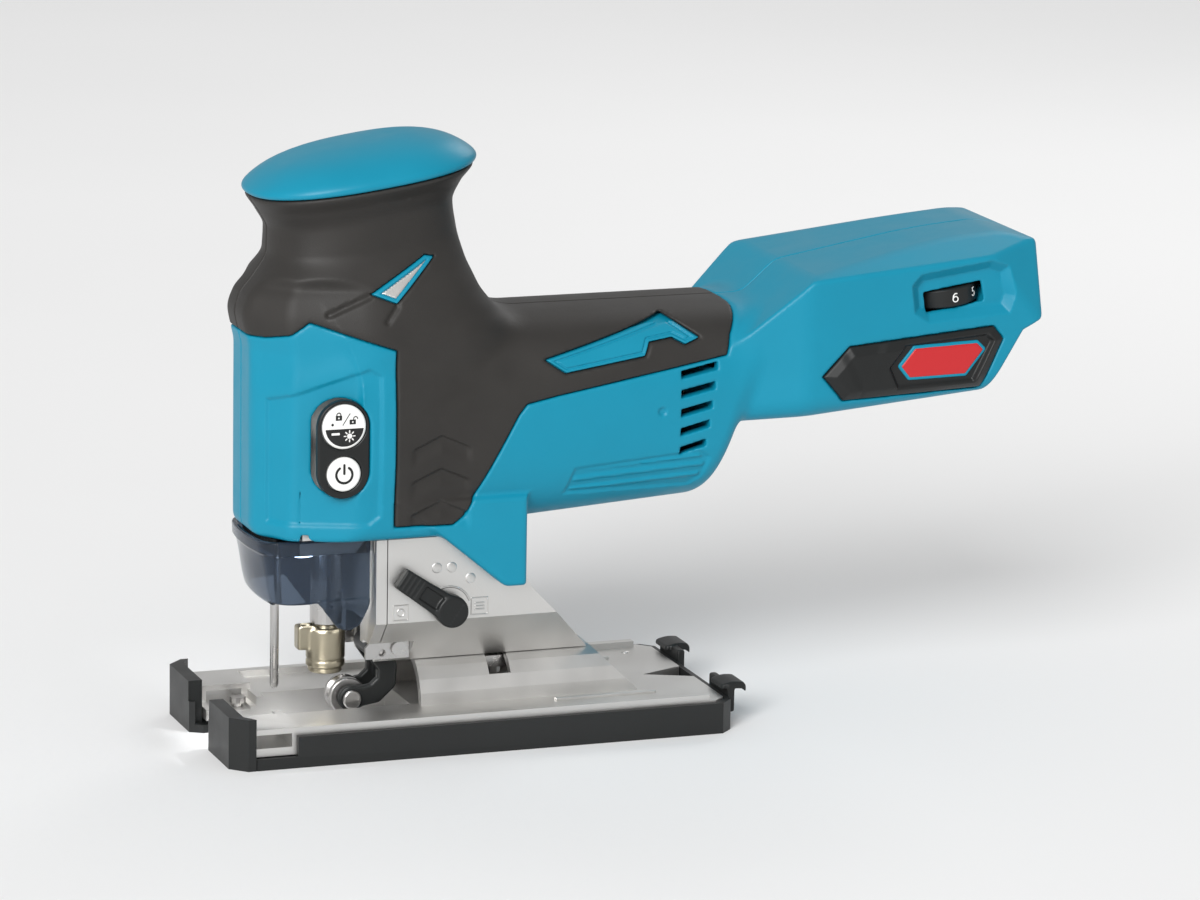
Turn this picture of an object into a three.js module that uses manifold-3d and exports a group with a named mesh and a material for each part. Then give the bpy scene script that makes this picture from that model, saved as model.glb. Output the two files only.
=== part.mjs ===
// Cordless barrel-grip jigsaw: an assembly of separate solids.
// Millimetres. +Z is up, the saw cuts towards -X and the battery end points to +X, so -Y is its left side.
// The origin lies in the sole plane, at the middle of the shoe's length and width.
import * as THREE from "three";
import { mergeVertices } from "three/addons/utils/BufferGeometryUtils.js";
import Module from "manifold-3d";

const wasm = await Module();
wasm.setup();

// ---------------------------------------------------------------- driving dimensions
const gap = 0.3; // what touching pieces keep between them
const facets = 24; // sides of a round piece
const bodyFacets = 24; // points round a housing section
const tidyTolerance = 0.03; // smallest step kept in a surface
const weld = 1e-3; // points closer than this are one

// housing
const wall = 2.6; // shell wall
const skin = 1.8; // rubber thickness
const trimDepth = 1.2; // how deep the side panels lie in the shell
const headFront = -69.5;
const headHalf = 31;
const headBottom = 68;
const barrelHalf = 32;
const barrelTop = 135;
const tailHalf = 36.5;
const tailEnd = 187;
const rimTilt = THREE.MathUtils.degToRad(8); // the palm pad leans forwards
const rimHeight = 178.5; // of the pad's rim, over rimCentre
const rimCentre = -31.5;
const padDome = 11.5;

// drive train
const bladeX = -41.5; // the blade's line
const stroke = 26;
const toothModule = 0.8;
const pinionTeeth = 9;
const gearTeeth = 39;
const gearZ = 86.6;
const centreDistance = (toothModule * (pinionTeeth + gearTeeth)) / 2;
const motorZ = gearZ + centreDistance;
const gearFront = -24;
const gearWidth = 8.5;
const pinRadius = 2.2;
const shaftRadius = 2.5;
const gearShaftRadius = 4;
const pinionBore = 1.8;
const bearingRadius = 8;
const gearBearingFront = -13.5;
const rodRadius = 5;
const rodBottom = 36;
const spigotRadius = 2.5;
const spigotBottom = 30;
const clampTop = 35.5;
const clampBottom = 20;
const clampRadius = 3.75;
const sleeveRadius = 6.2;
const yokeFront = -37;
const yokeRear = -31;
const yokeHalf = 18;
const yokeHeight = 8.6;
const bushRadius = 7.5;
const lowerBushBottom = 62.6;
const lowerBushTop = 68.9;
const upperBushBottom = 105;
const upperBushTop = 113;

// motor
const statorRadius = 24.2;
const statorFront = 20;
const statorRear = 60;
const rotorRadius = 13;
const fanRadius = 23.6;
const fanFront = 63;
const fanRear = 71;
const rearBearingFront = 73;
const bearingWidth = 6;
const frontBearingFront = -9;

// gear case
const caseHalf = 19.6; // inside the housing
const caseSkirtHalf = 24; // below the housing
const caseFront = -28.7;
const caseTop = 117;
const caseWall = 2.6;
const gearCavityRear = -14.7;
const caseShoulder = 40; // where its sides begin to slope in
const coverHalf = 22;
const coverFront = -56;
const flangeFront = -62;
const flangeTop = 66;

// shoe
const shoeLength = 166;
const shoeWidth = 77;
const soleFloor = 2.6;
const soleWall = 1.7;
const soleWallTop = 10;
const plateTop = 10.5;
const rimTop = 12.5;
const rimWidth = 3.2;
const blockRear = -61.5;
const blockInner = 19;
const bumperTop = 16.5;
const bumperDepth = 4.5;
const bumperChamfer = 5;
const bumperWrap = 3; // how far it reaches back along the side
const bumperInner = 11.8;
const slotHalf = 8.5; // blade slot, front part
const wellHalf = 13; // round the roller
const wellFront = -59;
const wellRear = -17.5;
const tiltZ = 10; // height of the bevel axis
const archRadius = 17;
const archWall = 2.6;
const archFront = -15;
const saddleHalfAngle = THREE.MathUtils.degToRad(35);

// small parts
const visorTop = 67.4;
const visorBottom = 45;
const visorWall = 1.8;
const visorHalf = 19;
const earHalf = 12.2; // the visor's rear tongues hang inside its sides
const earBottom = 35;
const wireRadius = 1.4;
const forkPivot = { x: -26.5, z: 27.5 };
const rollerAxis = { x: -35, z: 11.8 };
const rollerRadius = 6;
const forkHalf = 7.2;
const forkPinRadius = 2;
const plateHalf = 10.5;
const plateThick = 1.2;
const clipScrew = { x: -21.3, z: 28.8, radius: 1.2, end: 8.2 };
const orbitShaftRadius = 3.1;
const orbitShaftEnd = -9;
const boltX = 12;
const tiltPlateFront = -4;
const tiltPlateRear = 30;
const boltRadius = 3;
const boltTop = 44;
const wireX = -58.3;
const wireTop = 64.6;
const wireBottom = 15.5;
const lens = { x: -52.5, y: -11.5, radius: 3, bottom: 62.9, top: 65 };
const leverAxis = { x: -8.6, z: 43.5 };
const leverReach = 20.5;
const leverAngle = THREE.MathUtils.degToRad(145);
const lockButton = { x: -45.4, z: 105.5, radius: 7 };
const powerButton = { x: -45.4, z: 90.5, radius: 5.4 };
const dial = { x: 156.5, y: -23.8, z: 136.5, radius: 11, width: 6, lean: THREE.MathUtils.degToRad(8) };
const bay = { x: 168, z: 105, lean: THREE.MathUtils.degToRad(60), depth: 13, half: 29.5, length: 27 };

// ---------------------------------------------------------------- solids
// A closed geometry as a manifold-3d solid.
function solid(geometry) {
  const bare = geometry.index ? geometry.toNonIndexed() : geometry.clone();
  bare.deleteAttribute("normal");
  bare.deleteAttribute("uv");
  const merged = mergeVertices(bare, weld);
  const made = new wasm.Manifold(new wasm.Mesh({
    numProp: 3,
    vertProperties: merged.attributes.position.array,
    triVerts: new Uint32Array(merged.index.array),
  }));
  return made;
}

// The main body of a solid, without the slivers that cuts leave beside it.
function largest(made) {
  return made.decompose().reduce((a, b) => (b.volume() > a.volume() ? b : a));
}

function bareGeometry(made) {
  const mesh = made.getMesh();
  const geometry = new THREE.BufferGeometry();
  geometry.setAttribute("position", new THREE.BufferAttribute(new Float32Array(mesh.vertProperties), 3));
  geometry.setIndex(new THREE.BufferAttribute(new Uint32Array(mesh.triVerts), 1));
  return geometry;
}

// A solid as a geometry with flat-shaded normals.
function geometryOf(made) {
  const simple = largest(solid(bareGeometry(largest(made).simplify(tidyTolerance))));
  const flat = bareGeometry(simple).toNonIndexed();
  flat.computeVertexNormals();
  return flat;
}

const union = (...all) => all.reduce((a, b) => a.add(b));
const cut = (from, ...tools) => tools.reduce((a, b) => a.subtract(b), from);

// ---------------------------------------------------------------- basic shapes
function box(x0, x1, y0, y1, z0, z1) {
  const geometry = new THREE.BoxGeometry(x1 - x0, y1 - y0, z1 - z0);
  return solid(geometry.translate((x0 + x1) / 2, (y0 + y1) / 2, (z0 + z1) / 2));
}

const outline = (points) => new THREE.Shape(points.map(([a, b]) => new THREE.Vector2(a, b)));

function circle(u, v, radius) {
  return new THREE.Shape().absarc(u, v, radius, 0, Math.PI * 2, false);
}

// A stadium: two half circles of a radius joined by straight sides, standing on v0 to v1 at u.
function stadium(u, v0, v1, radius) {
  const shape = new THREE.Shape();
  shape.absarc(u, v1 - radius, radius, 0, Math.PI, false);
  shape.absarc(u, v0 + radius, radius, Math.PI, Math.PI * 2, false);
  return shape;
}

const roundSegments = facets / 2;
const smallRadius = 4.9; // rounds smaller than this get half the facets

// A shape in (x, z) extruded across, from y0 to y1.
function across(shape, y0, y1, curveSegments = roundSegments) {
  const made = new THREE.ExtrudeGeometry(shape, { depth: y1 - y0, bevelEnabled: false, curveSegments });
  return solid(made.rotateX(Math.PI / 2).translate(0, y1, 0));
}

// A shape in (y, z) extruded along, from x0 to x1.
function along(shape, x0, x1, curveSegments = roundSegments) {
  const made = new THREE.ExtrudeGeometry(shape, { depth: x1 - x0, bevelEnabled: false, curveSegments });
  const turn = new THREE.Matrix4().makeBasis(
    new THREE.Vector3(0, 1, 0), new THREE.Vector3(0, 0, 1), new THREE.Vector3(1, 0, 0));
  return solid(made.applyMatrix4(turn).translate(x0, 0, 0));
}

// A shape in (x, y) extruded upwards, from z0 to z1.
function upwards(shape, z0, z1, curveSegments = roundSegments) {
  const made = new THREE.ExtrudeGeometry(shape, { depth: z1 - z0, bevelEnabled: false, curveSegments });
  return solid(made.translate(0, 0, z0));
}

const segmentsFor = (radius) => (radius < smallRadius ? roundSegments / 2 : roundSegments);
const cylinderY = (x, z, radius, y0, y1) => across(circle(x, z, radius), y0, y1, segmentsFor(radius));
const cylinderX = (y, z, radius, x0, x1) => along(circle(y, z, radius), x0, x1, segmentsFor(radius));
const cylinderZ = (x, y, radius, z0, z1) => upwards(circle(x, y, radius), z0, z1, segmentsFor(radius));

// A turned piece: profile is [radius, distance] from axis to axis, and place says where it stands.
function turned(profile, place) {
  const widest = Math.max(...profile.map(([r]) => r));
  const sides = widest < smallRadius ? facets / 2 : facets;
  return place(new THREE.LatheGeometry(profile.map(([r, d]) => new THREE.Vector2(r, d)), sides));
}
const standing = (x, y) => (g) => solid(g.rotateX(Math.PI / 2).translate(x, y, 0));
const pointingX = (y, z) => (g) => solid(g.rotateZ(-Math.PI / 2).translate(0, y, z));
const pointingRight = (x, z) => (g) => solid(g.translate(x, 0, z));

const mirrorLeftToRight = (made) => made.mirror([0, 1, 0]);

// Rings of points, all as long, joined into one closed skin with flat ends.
function loft(rings) {
  const count = rings[0].length;
  const positions = rings.flat().flatMap((p) => [p.x, p.y, p.z]);
  const index = [];
  for (let r = 0; r + 1 < rings.length; r++) {
    for (let i = 0; i < count; i++) {
      const a = r * count + i;
      const b = r * count + ((i + 1) % count);
      index.push(a, b, b + count, a, b + count, a + count);
    }
  }
  const ends = [0, rings.length - 1];
  for (const r of ends) {
    const flat = flatten(rings[r]);
    const triangles = THREE.ShapeUtils.triangulateShape(flat, []);
    for (const [a, b, c] of triangles) {
      const base = r * count;
      index.push(...(r === 0 ? [base + a, base + c, base + b] : [base + a, base + b, base + c]));
    }
  }
  const geometry = new THREE.BufferGeometry();
  geometry.setAttribute("position", new THREE.Float32BufferAttribute(positions, 3));
  geometry.setIndex(index);
  return solid(geometry);
}

// A ring's points in its own plane, whichever way that plane faces.
function flatten(ring) {
  const [a, b, c] = [ring[0], ring[Math.floor(ring.length / 3)], ring[Math.floor((2 * ring.length) / 3)]];
  const u = b.clone().sub(a).normalize();
  const normal = u.clone().cross(c.clone().sub(a)).normalize();
  const v = normal.clone().cross(u);
  return ring.map((p) => {
    const d = p.clone().sub(a);
    return new THREE.Vector2(d.dot(u), d.dot(v));
  });
}

// A superellipse: power 2 is an ellipse, and a larger one is squarer.
function superellipse(halfU, halfV, power, count = bodyFacets) {
  const bulge = (c) => Math.sign(c) * Math.abs(c) ** (2 / power);
  return Array.from({ length: count }, (_, i) => {
    const t = (2 * Math.PI * (i + 0.5)) / count;
    return [halfU * bulge(Math.cos(t)), halfV * bulge(Math.sin(t))];
  });
}

// ---------------------------------------------------------------- the housing's outer form
// Upright sections of the head: height, front, rear, half width, power and how far the ring leans.
const headSections = [
  [headBottom, headFront + 2.5, -10, headHalf - 3.5, 3.4, 0],
  [headBottom + 4, headFront, -6, headHalf - 1, 3.6, 0],
  [100, headFront, 0, headHalf, 3.8, 0],
  [128, headFront, 4, headHalf, 3.6, 0],
  [137, headFront - 2, 6, headHalf - 0.5, 3, 0.1],
  [144, headFront - 1, 4.5, headHalf - 2.5, 2.8, 0.25],
  [151, headFront + 3.5, 2, headHalf - 6, 2.6, 0.5],
  [159, headFront + 7.5, 0, headHalf - 9, 2.4, 0.8],
  [167, headFront + 7.5, -1, headHalf - 9, 2.4, 1],
  [173, headFront + 4, 1.5, headHalf - 6.5, 2.4, 1],
  [rimHeight, headFront + 1, 5.5, headHalf - 2.5, 2.4, 1],
];

function headForm(inset) {
  const last = headSections.length - 1;
  return loft(headSections.map(([z, front, rear, half, power, lean], i) => {
    const end = i === 0 ? -inset : i === last ? inset : 0;
    const middle = (front + rear) / 2;
    const halfLength = (rear - front) / 2 - inset;
    return superellipse(halfLength, half - inset, power).map(([u, v]) => {
      const rise = Math.tan(rimTilt) * lean * (middle + u - rimCentre);
      return new THREE.Vector3(middle + u, v, z - end + rise);
    });
  }));
}

// Sections of the barrel and the tail: x, bottom, top, half width, power.
const barrelSections = [
  [-40, 69, barrelTop, headHalf - 2, 3],
  [0, 69, barrelTop + 0.5, headHalf, 3],
  [18, 69.5, barrelTop, barrelHalf - 0.5, 3],
  [70, 72.5, barrelTop, barrelHalf, 3],
  [77, 76, barrelTop, barrelHalf - 0.5, 3],
  [81, 86, barrelTop, barrelHalf - 1.5, 3],
  [84, 97, barrelTop - 1, barrelHalf - 2, 3],
  [90, 99.5, barrelTop - 1, barrelHalf - 2, 3],
];
const tailSections = [
  [83, 99.5, barrelTop - 3, barrelHalf - 3, 3],
  [92, 99, 136, tailHalf - 5, 3.4],
  [104, 99.5, 142.5, tailHalf - 1.5, 4],
  [112, 100, 145, tailHalf - 0.5, 4.4],
  [137, 102, 149, tailHalf, 4.6],
  [155, 103.5, 151.5, tailHalf, 4.6],
  [168, 105, 153, tailHalf, 4.6],
  [176, 112, 153, tailHalf - 0.5, 4.6],
  [tailEnd - 1, 126, 146, tailHalf - 2.5, 4.6],
  [tailEnd, 129, 144, tailHalf - 3.5, 4.6],
];

function barrelForm(sections, inset) {
  const last = sections.length - 1;
  return loft(sections.map(([x, bottom, top, half, power], i) => {
    const end = i === 0 ? inset : i === last ? -inset : 0;
    const ring = superellipse(half - inset, (top - bottom) / 2 - inset, power);
    return ring.map(([u, v]) => new THREE.Vector3(x + end, u, (top + bottom) / 2 + v));
  }));
}

// The tongue of housing that reaches down behind the gear case.
const tongueOutline = [[-14, 66.5], [-9, 65], [8, 51], [15, 51], [15, 80], [-14, 80]];
function tongueForm(inset) {
  const half = headHalf - inset;
  const sides = across(outline(tongueOutline), -half, half);
  return inset ? sides.intersect(box(-30, 15 - inset, -half, half, 40, 90)) : sides;
}

function bodyForm(inset) {
  return union(
    headForm(inset),
    barrelForm(barrelSections, inset),
    barrelForm(tailSections, inset),
    tongueForm(inset),
  );
}

// ---------------------------------------------------------------- battery bay
// A box in the bay's own frame: up its slope, across, and out of its mouth.
function inBay(u0, u1, y0, y1, n0, n1) {
  const geometry = new THREE.BoxGeometry(u1 - u0, y1 - y0, n1 - n0);
  geometry.translate((u0 + u1) / 2, (y0 + y1) / 2, (n0 + n1) / 2);
  const up = new THREE.Vector3(Math.cos(bay.lean), 0, Math.sin(bay.lean));
  const side = new THREE.Vector3(0, -1, 0);
  const out = new THREE.Vector3().crossVectors(up, side);
  const turn = new THREE.Matrix4().makeBasis(up, side, out).setPosition(bay.x, 0, bay.z);
  return solid(geometry.applyMatrix4(turn));
}
const bayRoom = () => inBay(-20, bay.length, -bay.half, bay.half, -bay.depth, 40);
const bayLining = () => inBay(-20, bay.length + wall, -bay.half - wall, bay.half + wall, -bay.depth - wall, 30);
const railDepth = 3;
const bayRail = (side) => {
  const rail = inBay(-2, bay.length + 1, bay.half - railDepth, bay.half + 1, -8, -5);
  return side < 0 ? rail : mirrorLeftToRight(rail);
};

// ---------------------------------------------------------------- rubber region and trims
// Outline, in side view, of what the rubber covers.
const rubberOutline = [
  [-90, 138], [-67, 131], [-59, 131], [-54.5, 137.5], [-29, 128.5], [-28.5, 72.4], [-9.7, 72.2], [-6, 74.5],
  [11.4, 106], [15, 109.5], [80.5, 121], [82.5, 128], [80, 150], [40, 210], [-90, 210],
];
const rubberRegion = (by) => across(outline(grown(rubberOutline, by)), -60, 60);

const inlayOutline = [
  [20.5, 122.5], [63, 133], [72.5, 126.5], [67.5, 124.8], [63.3, 127], [55.6, 126], [53.6, 122], [27, 118.2],
];
const accentOutline = [[-36, 145.8], [-17, 156.4], [-13.7, 155.8], [-28, 142.7]];
const badgeOutline = [[111, 113.5], [120, 122.8], [169.5, 127], [173, 122.8], [165.7, 107], [118, 105.3]];
const dialRecess = [
  [144, 145], [168.4, 148.3], [175, 146], [177, 136.6], [172.5, 130.5], [147, 129], [141.9, 132.3], [140.6, 141.3],
];
const dialWindow = [[146, 138.4], [165.8, 141.3], [166.9, 134.8], [147, 131.8]];

// What lies within depth of the outer form on the left side, inside an outline.
function leftSkin(form, inner, shape) {
  return cut(form.intersect(across(outline(shape), -60, 0)), inner);
}

// An outline moved outwards by a distance, with mitred corners.
function grown(points, by) {
  const turn = Math.sign(THREE.ShapeUtils.area(points.map(([a, b]) => new THREE.Vector2(a, b))));
  const count = points.length;
  const normal = (i) => {
    const [a, b] = [points[i % count], points[(i + 1) % count]];
    const length = Math.hypot(b[0] - a[0], b[1] - a[1]);
    return [(turn * (b[1] - a[1])) / length, (-turn * (b[0] - a[0])) / length];
  };
  return points.map(([u, v], i) => {
    const [m, n] = [normal(i + count - 1), normal(i)];
    const scale = by / (1 + m[0] * n[0] + m[1] * n[1]);
    return [u + (m[0] + n[0]) * scale, v + (m[1] + n[1]) * scale];
  });
}

// ---------------------------------------------------------------- gears
// A spur gear's outline, with a tooth centred on angle start.
function gearOutline(teeth, start, thin = 0.1) {
  const pitch = (toothModule * teeth) / 2;
  const root = pitch - toothModule * 1.15;
  const tip = pitch + toothModule * 0.85;
  const step = (2 * Math.PI) / teeth;
  const points = [];
  for (let i = 0; i < teeth; i++) {
    const middle = start + i * step;
    const corners = [[root, -0.36], [tip, -0.12], [tip, 0.12], [root, 0.36]];
    for (const [radius, share] of corners) {
      const slim = Math.sign(share) * (thin / radius);
      const angle = middle + share * step - slim;
      points.push([radius * Math.cos(angle), radius * Math.sin(angle)]);
    }
  }
  return points;
}
const moved = (points, u, v) => points.map(([a, b]) => [a + u, b + v]);

// ---------------------------------------------------------------- the pieces
const root = new THREE.Group();
root.name = "jigsaw";

function add(name, made, colour, roughness, metalness = 0) {
  const material = new THREE.MeshStandardMaterial({ color: colour, roughness, metalness });
  const mesh = new THREE.Mesh(geometryOf(made), material);
  mesh.name = name;
  root.add(mesh);
}
const teal = "#1592b0";
const rubber = "#3a3836";
const black = "#242526";
const silver = "#b9bab6";
const steel = "#8d8f90";
const brass = "#9c9273";
const white = "#eceeee";
const copper = "#a8643c";

// --- gear case, visible below the housing
const skirtTop = headBottom - 1;
const saddleEdge = {
  y: archRadius * Math.sin(saddleHalfAngle),
  z: tiltZ + archRadius * Math.cos(saddleHalfAngle),
};
const caseSection = outline([
  [-caseHalf, caseTop], [-caseHalf, skirtTop], [-caseSkirtHalf, skirtTop], [-caseSkirtHalf, caseShoulder],
  [-saddleEdge.y, saddleEdge.z + gap], [saddleEdge.y, saddleEdge.z + gap],
  [caseSkirtHalf, caseShoulder], [caseSkirtHalf, skirtTop], [caseHalf, skirtTop], [caseHalf, caseTop],
]);
const caseSide = outline([
  [caseFront, 24], [caseFront, caseTop], [-1, caseTop], [-1, 72], [12, 61], [19.5, 48], [43, 24],
]);
const caseEnvelope = () => {
  const sides = across(caseSide, -caseSkirtHalf, caseSkirtHalf);
  return along(caseSection, caseFront, 60).intersect(sides);
};

// Where the fork's side plates lie, the case is narrower.
const platesRoom = () => {
  const one = box(-40, -17.5, plateHalf, 40, 15, 32);
  return union(one, mirrorLeftToRight(one));
};

function gearHousing() {
  const cavityHalf = caseHalf - caseWall;
  return cut(
    caseEnvelope(),
    cylinderX(0, tiltZ, archRadius + gap + 0.05, -80, 80),
    box(caseFront - 1, gearCavityRear, -cavityHalf, cavityHalf, 52, caseTop - 3),
    cylinderX(0, motorZ, bearingRadius + gap, frontBearingFront - gap, 5),
    cylinderX(0, motorZ, shaftRadius + 1.5, -20, 5),
    cylinderX(0, gearZ, bearingRadius + gap, gearCavityRear - 1, gearBearingFront + bearingWidth + gap),
    cylinderY(leverAxis.x, leverAxis.z, orbitShaftRadius + gap, -caseSkirtHalf - 1, orbitShaftEnd + gap),
    cylinderY(forkPivot.x, forkPivot.z, forkPinRadius + gap, -30, 30),
    box(-40, -19, -forkHalf - 0.6, forkHalf + 0.6, 15, 38), // room for the roller fork
    platesRoom(),
    cylinderZ(boltX, 0, boltRadius + gap, 10, boltTop + gap),
    clipScrewHoles(),
  );
}

// Where the visor's sides lie, the cover is narrower.
const besideVisor = () => {
  const one = box(-80, -32.6, visorHalf - gap, 40, 40, headBottom);
  return [one, mirrorLeftToRight(one)];
};

function gearCover() {
  const inner = coverHalf - caseWall;
  const shellBox = box(coverFront, caseFront - gap, -coverHalf, coverHalf, lowerBushBottom, caseTop);
  const cavity = box(coverFront + 3, caseFront + 1, -inner, inner, lowerBushTop + 0.1, upperBushBottom - 0.1);
  const flange = box(flangeFront, coverFront + 1, -17, 17, lowerBushBottom, flangeTop);
  const skirtRoom = box(-33, -28, -30, 30, 31, lowerBushBottom + 1);
  const skirt = along(caseSection, -32.5, caseFront - gap).intersect(skirtRoom);
  const shoulder = box(-32.5, caseFront - gap, -caseSkirtHalf, caseSkirtHalf, 60, skirtTop);
  return cut(
    union(shellBox, flange, skirt, shoulder),
    cavity,
    cylinderZ(bladeX, 0, bushRadius + gap, 50, 130),
    cylinderZ(wireX, 0, wireRadius + gap, 61, wireTop + gap),
    cylinderZ(lens.x, lens.y, lens.radius + gap, 61, lens.top + gap),
    box(-45, -25, -forkHalf - 0.6, forkHalf + 0.6, 15, 39),
    platesRoom(),
    ...besideVisor(),
  );
}

// --- housing shells, rubber and trims
const outer = bodyForm(0);
const underRubber = bodyForm(skin);
const inside = bodyForm(wall + skin);
const left = () => box(-120, 220, -80, -gap / 2, 0, 220);

// What the gear case needs free: wide below the housing, narrower inside it.
const gearRoom = () => union(
  across(outline([[-80, 20], [-80, headBottom], [-30, 73], [-0.4, 73], [12.8, 61.8], [20.6, 48], [46, 20]]),
    -caseSkirtHalf - gap, caseSkirtHalf + gap),
  box(flangeFront - 2, -0.6, -coverHalf - 0.6, coverHalf + 0.6, 40, 84),
);

const bezelOutline = { bottom: 82.6, top: 113.7, radius: 8.4 };
const bezelHole = () => across(
  stadium(lockButton.x, bezelOutline.bottom - gap, bezelOutline.top + gap, bezelOutline.radius + gap), -60, -20);

const ventSlots = Array.from({ length: 5 }, (_, i) => {
  const z = 115 - i * 6.1;
  const rear = 77.5 - i * 0.9;
  return [[65.3, z], [rear, z + 2.4], [rear, z + 5], [65.3, z + 2.6]];
});

// Each shell screw's x and z, how far right of the middle its head lies and how far left its tip reaches.
const screwPlaces = [[-62.6, 80, 12, 11], [-62.6, 125, 12, 11], [46, 77.2, 20, 16.5], [100, 132, 20, 16.5]];
const screwRadius = 1.5;
const screwHead = 3;
const screwHeadHeight = 2.8;
const bossRadius = 3.8;

function shellSide() {
  const covered = outer.intersect(rubberRegion(gap));
  let made = cut(outer, covered.subtract(underRubber), inside);
  const lining = bayLining().intersect(outer);
  made = union(made, lining);
  made = cut(made, bayRoom(), gearRoom());
  made = union(made, bayRail(-1).intersect(outer), bayRail(1).intersect(outer));
  return made.intersect(left());
}

const shellBase = shellSide();
const underBadge = bodyForm(trimDepth - gap);
const pocketFloor = bodyForm(trimDepth).intersect(underBadge); // never nearer the surface than the badge
const skinTool = (points, by) => leftSkin(outer, pocketFloor, grown(points, by));
const leftTools = [
  bezelHole(),
  skinTool(badgeOutline, gap),
  ...ventSlots.map((slot) => across(outline(slot), -60, -20)),
];
const dialOnly = [
  onDial(new THREE.CylinderGeometry(dial.radius + gap, dial.radius + gap, dial.width + 2 * gap, 36)),
  across(outline(dialRecess), -60, -(tailHalf - 2.2)),
  across(outline(dialWindow), -60, -20),
];

function screwWell([x, z, seat]) {
  return union(
    cylinderY(x, z, screwHead + gap, seat, 60),
    cylinderY(x, z, screwRadius + gap, -1, seat + 1),
  );
}
const bosses = () => screwPlaces.map(([x, z]) => cylinderY(x, z, bossRadius, -60, -gap / 2).intersect(outer));
const screwHoles = () => screwPlaces.map(
  ([x, z, , tip]) => cylinderY(x, z, screwRadius + gap, -tip - 0.5, 10),
);

// Ribs that carry the stator and the motor's rear bearing.
function motorRibs() {
  const rib = (x0, x1, radius) => {
    const slice = box(x0, x1, -60, -gap / 2, 60, 140).intersect(bodyForm(wall));
    return cut(slice, cylinderX(0, motorZ, radius + gap, x0 - 1, x1 + 1));
  };
  return [
    rib(statorFront + 4, statorFront + 7, statorRadius),
    rib(statorRear - 7, statorRear - 4, statorRadius),
    rib(rearBearingFront, rearBearingFront + bearingWidth, bearingRadius),
  ];
}
const halfShell = union(shellBase, ...bosses(), ...motorRibs());
const leftShell = cut(halfShell, ...leftTools, ...dialOnly, ...screwHoles());
const rightTools = [...leftTools.map(mirrorLeftToRight), ...screwPlaces.map(screwWell)];
const rightShell = cut(mirrorLeftToRight(halfShell), ...rightTools);
add("left_shell", leftShell, teal, 0.35);
add("right_shell", rightShell, teal, 0.35);

const gripBase = (() => {
  const under = bodyForm(skin - 1.3 * gap);
  const region = rubberRegion(0);
  const made = cut(outer, under).intersect(region).intersect(left());
  const windows = [inlayOutline, accentOutline].map((edge) => across(outline(grown(edge, gap)), -60, 0));
  const trimmed = cut(made, ...windows);
  return cut(trimmed, box(-120, 120, -80, 80, 0, 72.6), headTopTool());
})();
function headTopTool() {
  // everything over the rim's plane
  const slab = new THREE.BoxGeometry(200, 200, 60).translate(0, 0, 30);
  return solid(slab.rotateY(-rimTilt).translate(rimCentre, 0, rimHeight - 0.01));
}
add("grip_left", gripBase, rubber, 0.8);
add("grip_right", mirrorLeftToRight(gripBase), rubber, 0.8);

const trimUnder = bodyForm(skin - gap);
const inlay = leftSkin(outer, trimUnder, inlayOutline);
const accent = leftSkin(outer, trimUnder, accentOutline);
const badge = leftSkin(outer, underBadge, grown(badgeOutline, -1.3 * gap));
add("inlay_left", inlay, teal, 0.35);
add("inlay_right", mirrorLeftToRight(inlay), teal, 0.35);
add("accent_left", accent, teal, 0.3);
add("accent_right", mirrorLeftToRight(accent), teal, 0.3);
add("badge_left", badge, black, 0.5);
add("badge_right", mirrorLeftToRight(badge), black, 0.5);

function topCap() {
  // each ring: how far up the dome and how much of the rim's size is left
  const rings = [[gap, 1.01], [2.5, 1.03], [6, 0.98], [9, 0.86], [10.8, 0.66], [padDome, 0.4]];
  const [, front, rear, half] = headSections[headSections.length - 1];
  return loft(rings.map(([rise, share]) => {
    const middle = (front + rear) / 2;
    return superellipse(((rear - front) / 2) * share, half * share, 2.4).map(([u, v]) => {
      const lean = Math.tan(rimTilt) * (middle + u - rimCentre);
      return new THREE.Vector3(middle + u, v, rimHeight + rise + lean);
    });
  }));
}
add("top_cap", topCap(), teal, 0.35);

// --- switch panels and buttons
function bezel() {
  const { bottom, top, radius } = bezelOutline;
  const plate = across(stadium(lockButton.x, bottom, top, radius), -31.4, -28);
  return cut(plate,
    cylinderY(lockButton.x, lockButton.z, lockButton.radius + gap, -60, 0),
    cylinderY(powerButton.x, powerButton.z, powerButton.radius + gap, -60, 0));
}
const button = ({ x, z, radius }) => cylinderY(x, z, radius, -31.7, -27.4);
add("switch_bezel_left", bezel(), black, 0.5);
add("switch_bezel_right", mirrorLeftToRight(bezel()), black, 0.5);
add("lock_button_left", button(lockButton), white, 0.4);
add("power_button_left", button(powerButton), white, 0.4);
add("lock_button_right", mirrorLeftToRight(button(lockButton)), white, 0.4);
add("power_button_right", mirrorLeftToRight(button(powerButton)), white, 0.4);

// --- speed dial, on an axis that leans with the tail
function onDial(geometry) {
  return solid(geometry.rotateX(Math.PI / 2).rotateY(-dial.lean).translate(dial.x, dial.y, dial.z));
}
function speedDial() {
  const wheel = new THREE.CylinderGeometry(dial.radius, dial.radius, dial.width, 36);
  const bore = new THREE.CylinderGeometry(2.2 + gap, 2.2 + gap, dial.width + 2, 16);
  return cut(onDial(wheel), onDial(bore));
}
function dialPot() {
  const stem = new THREE.CylinderGeometry(2.2, 2.2, 9, 16).translate(0, 0.5, 0);
  const body = new THREE.BoxGeometry(11, 3.5, 10).translate(0, -dial.width / 2 - 2.4, 0);
  return union(onDial(stem), onDial(body));
}
add("speed_dial", speedDial(), black, 0.5);
add("dial_pot", dialPot(), "#3c6e8c", 0.6);

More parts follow.
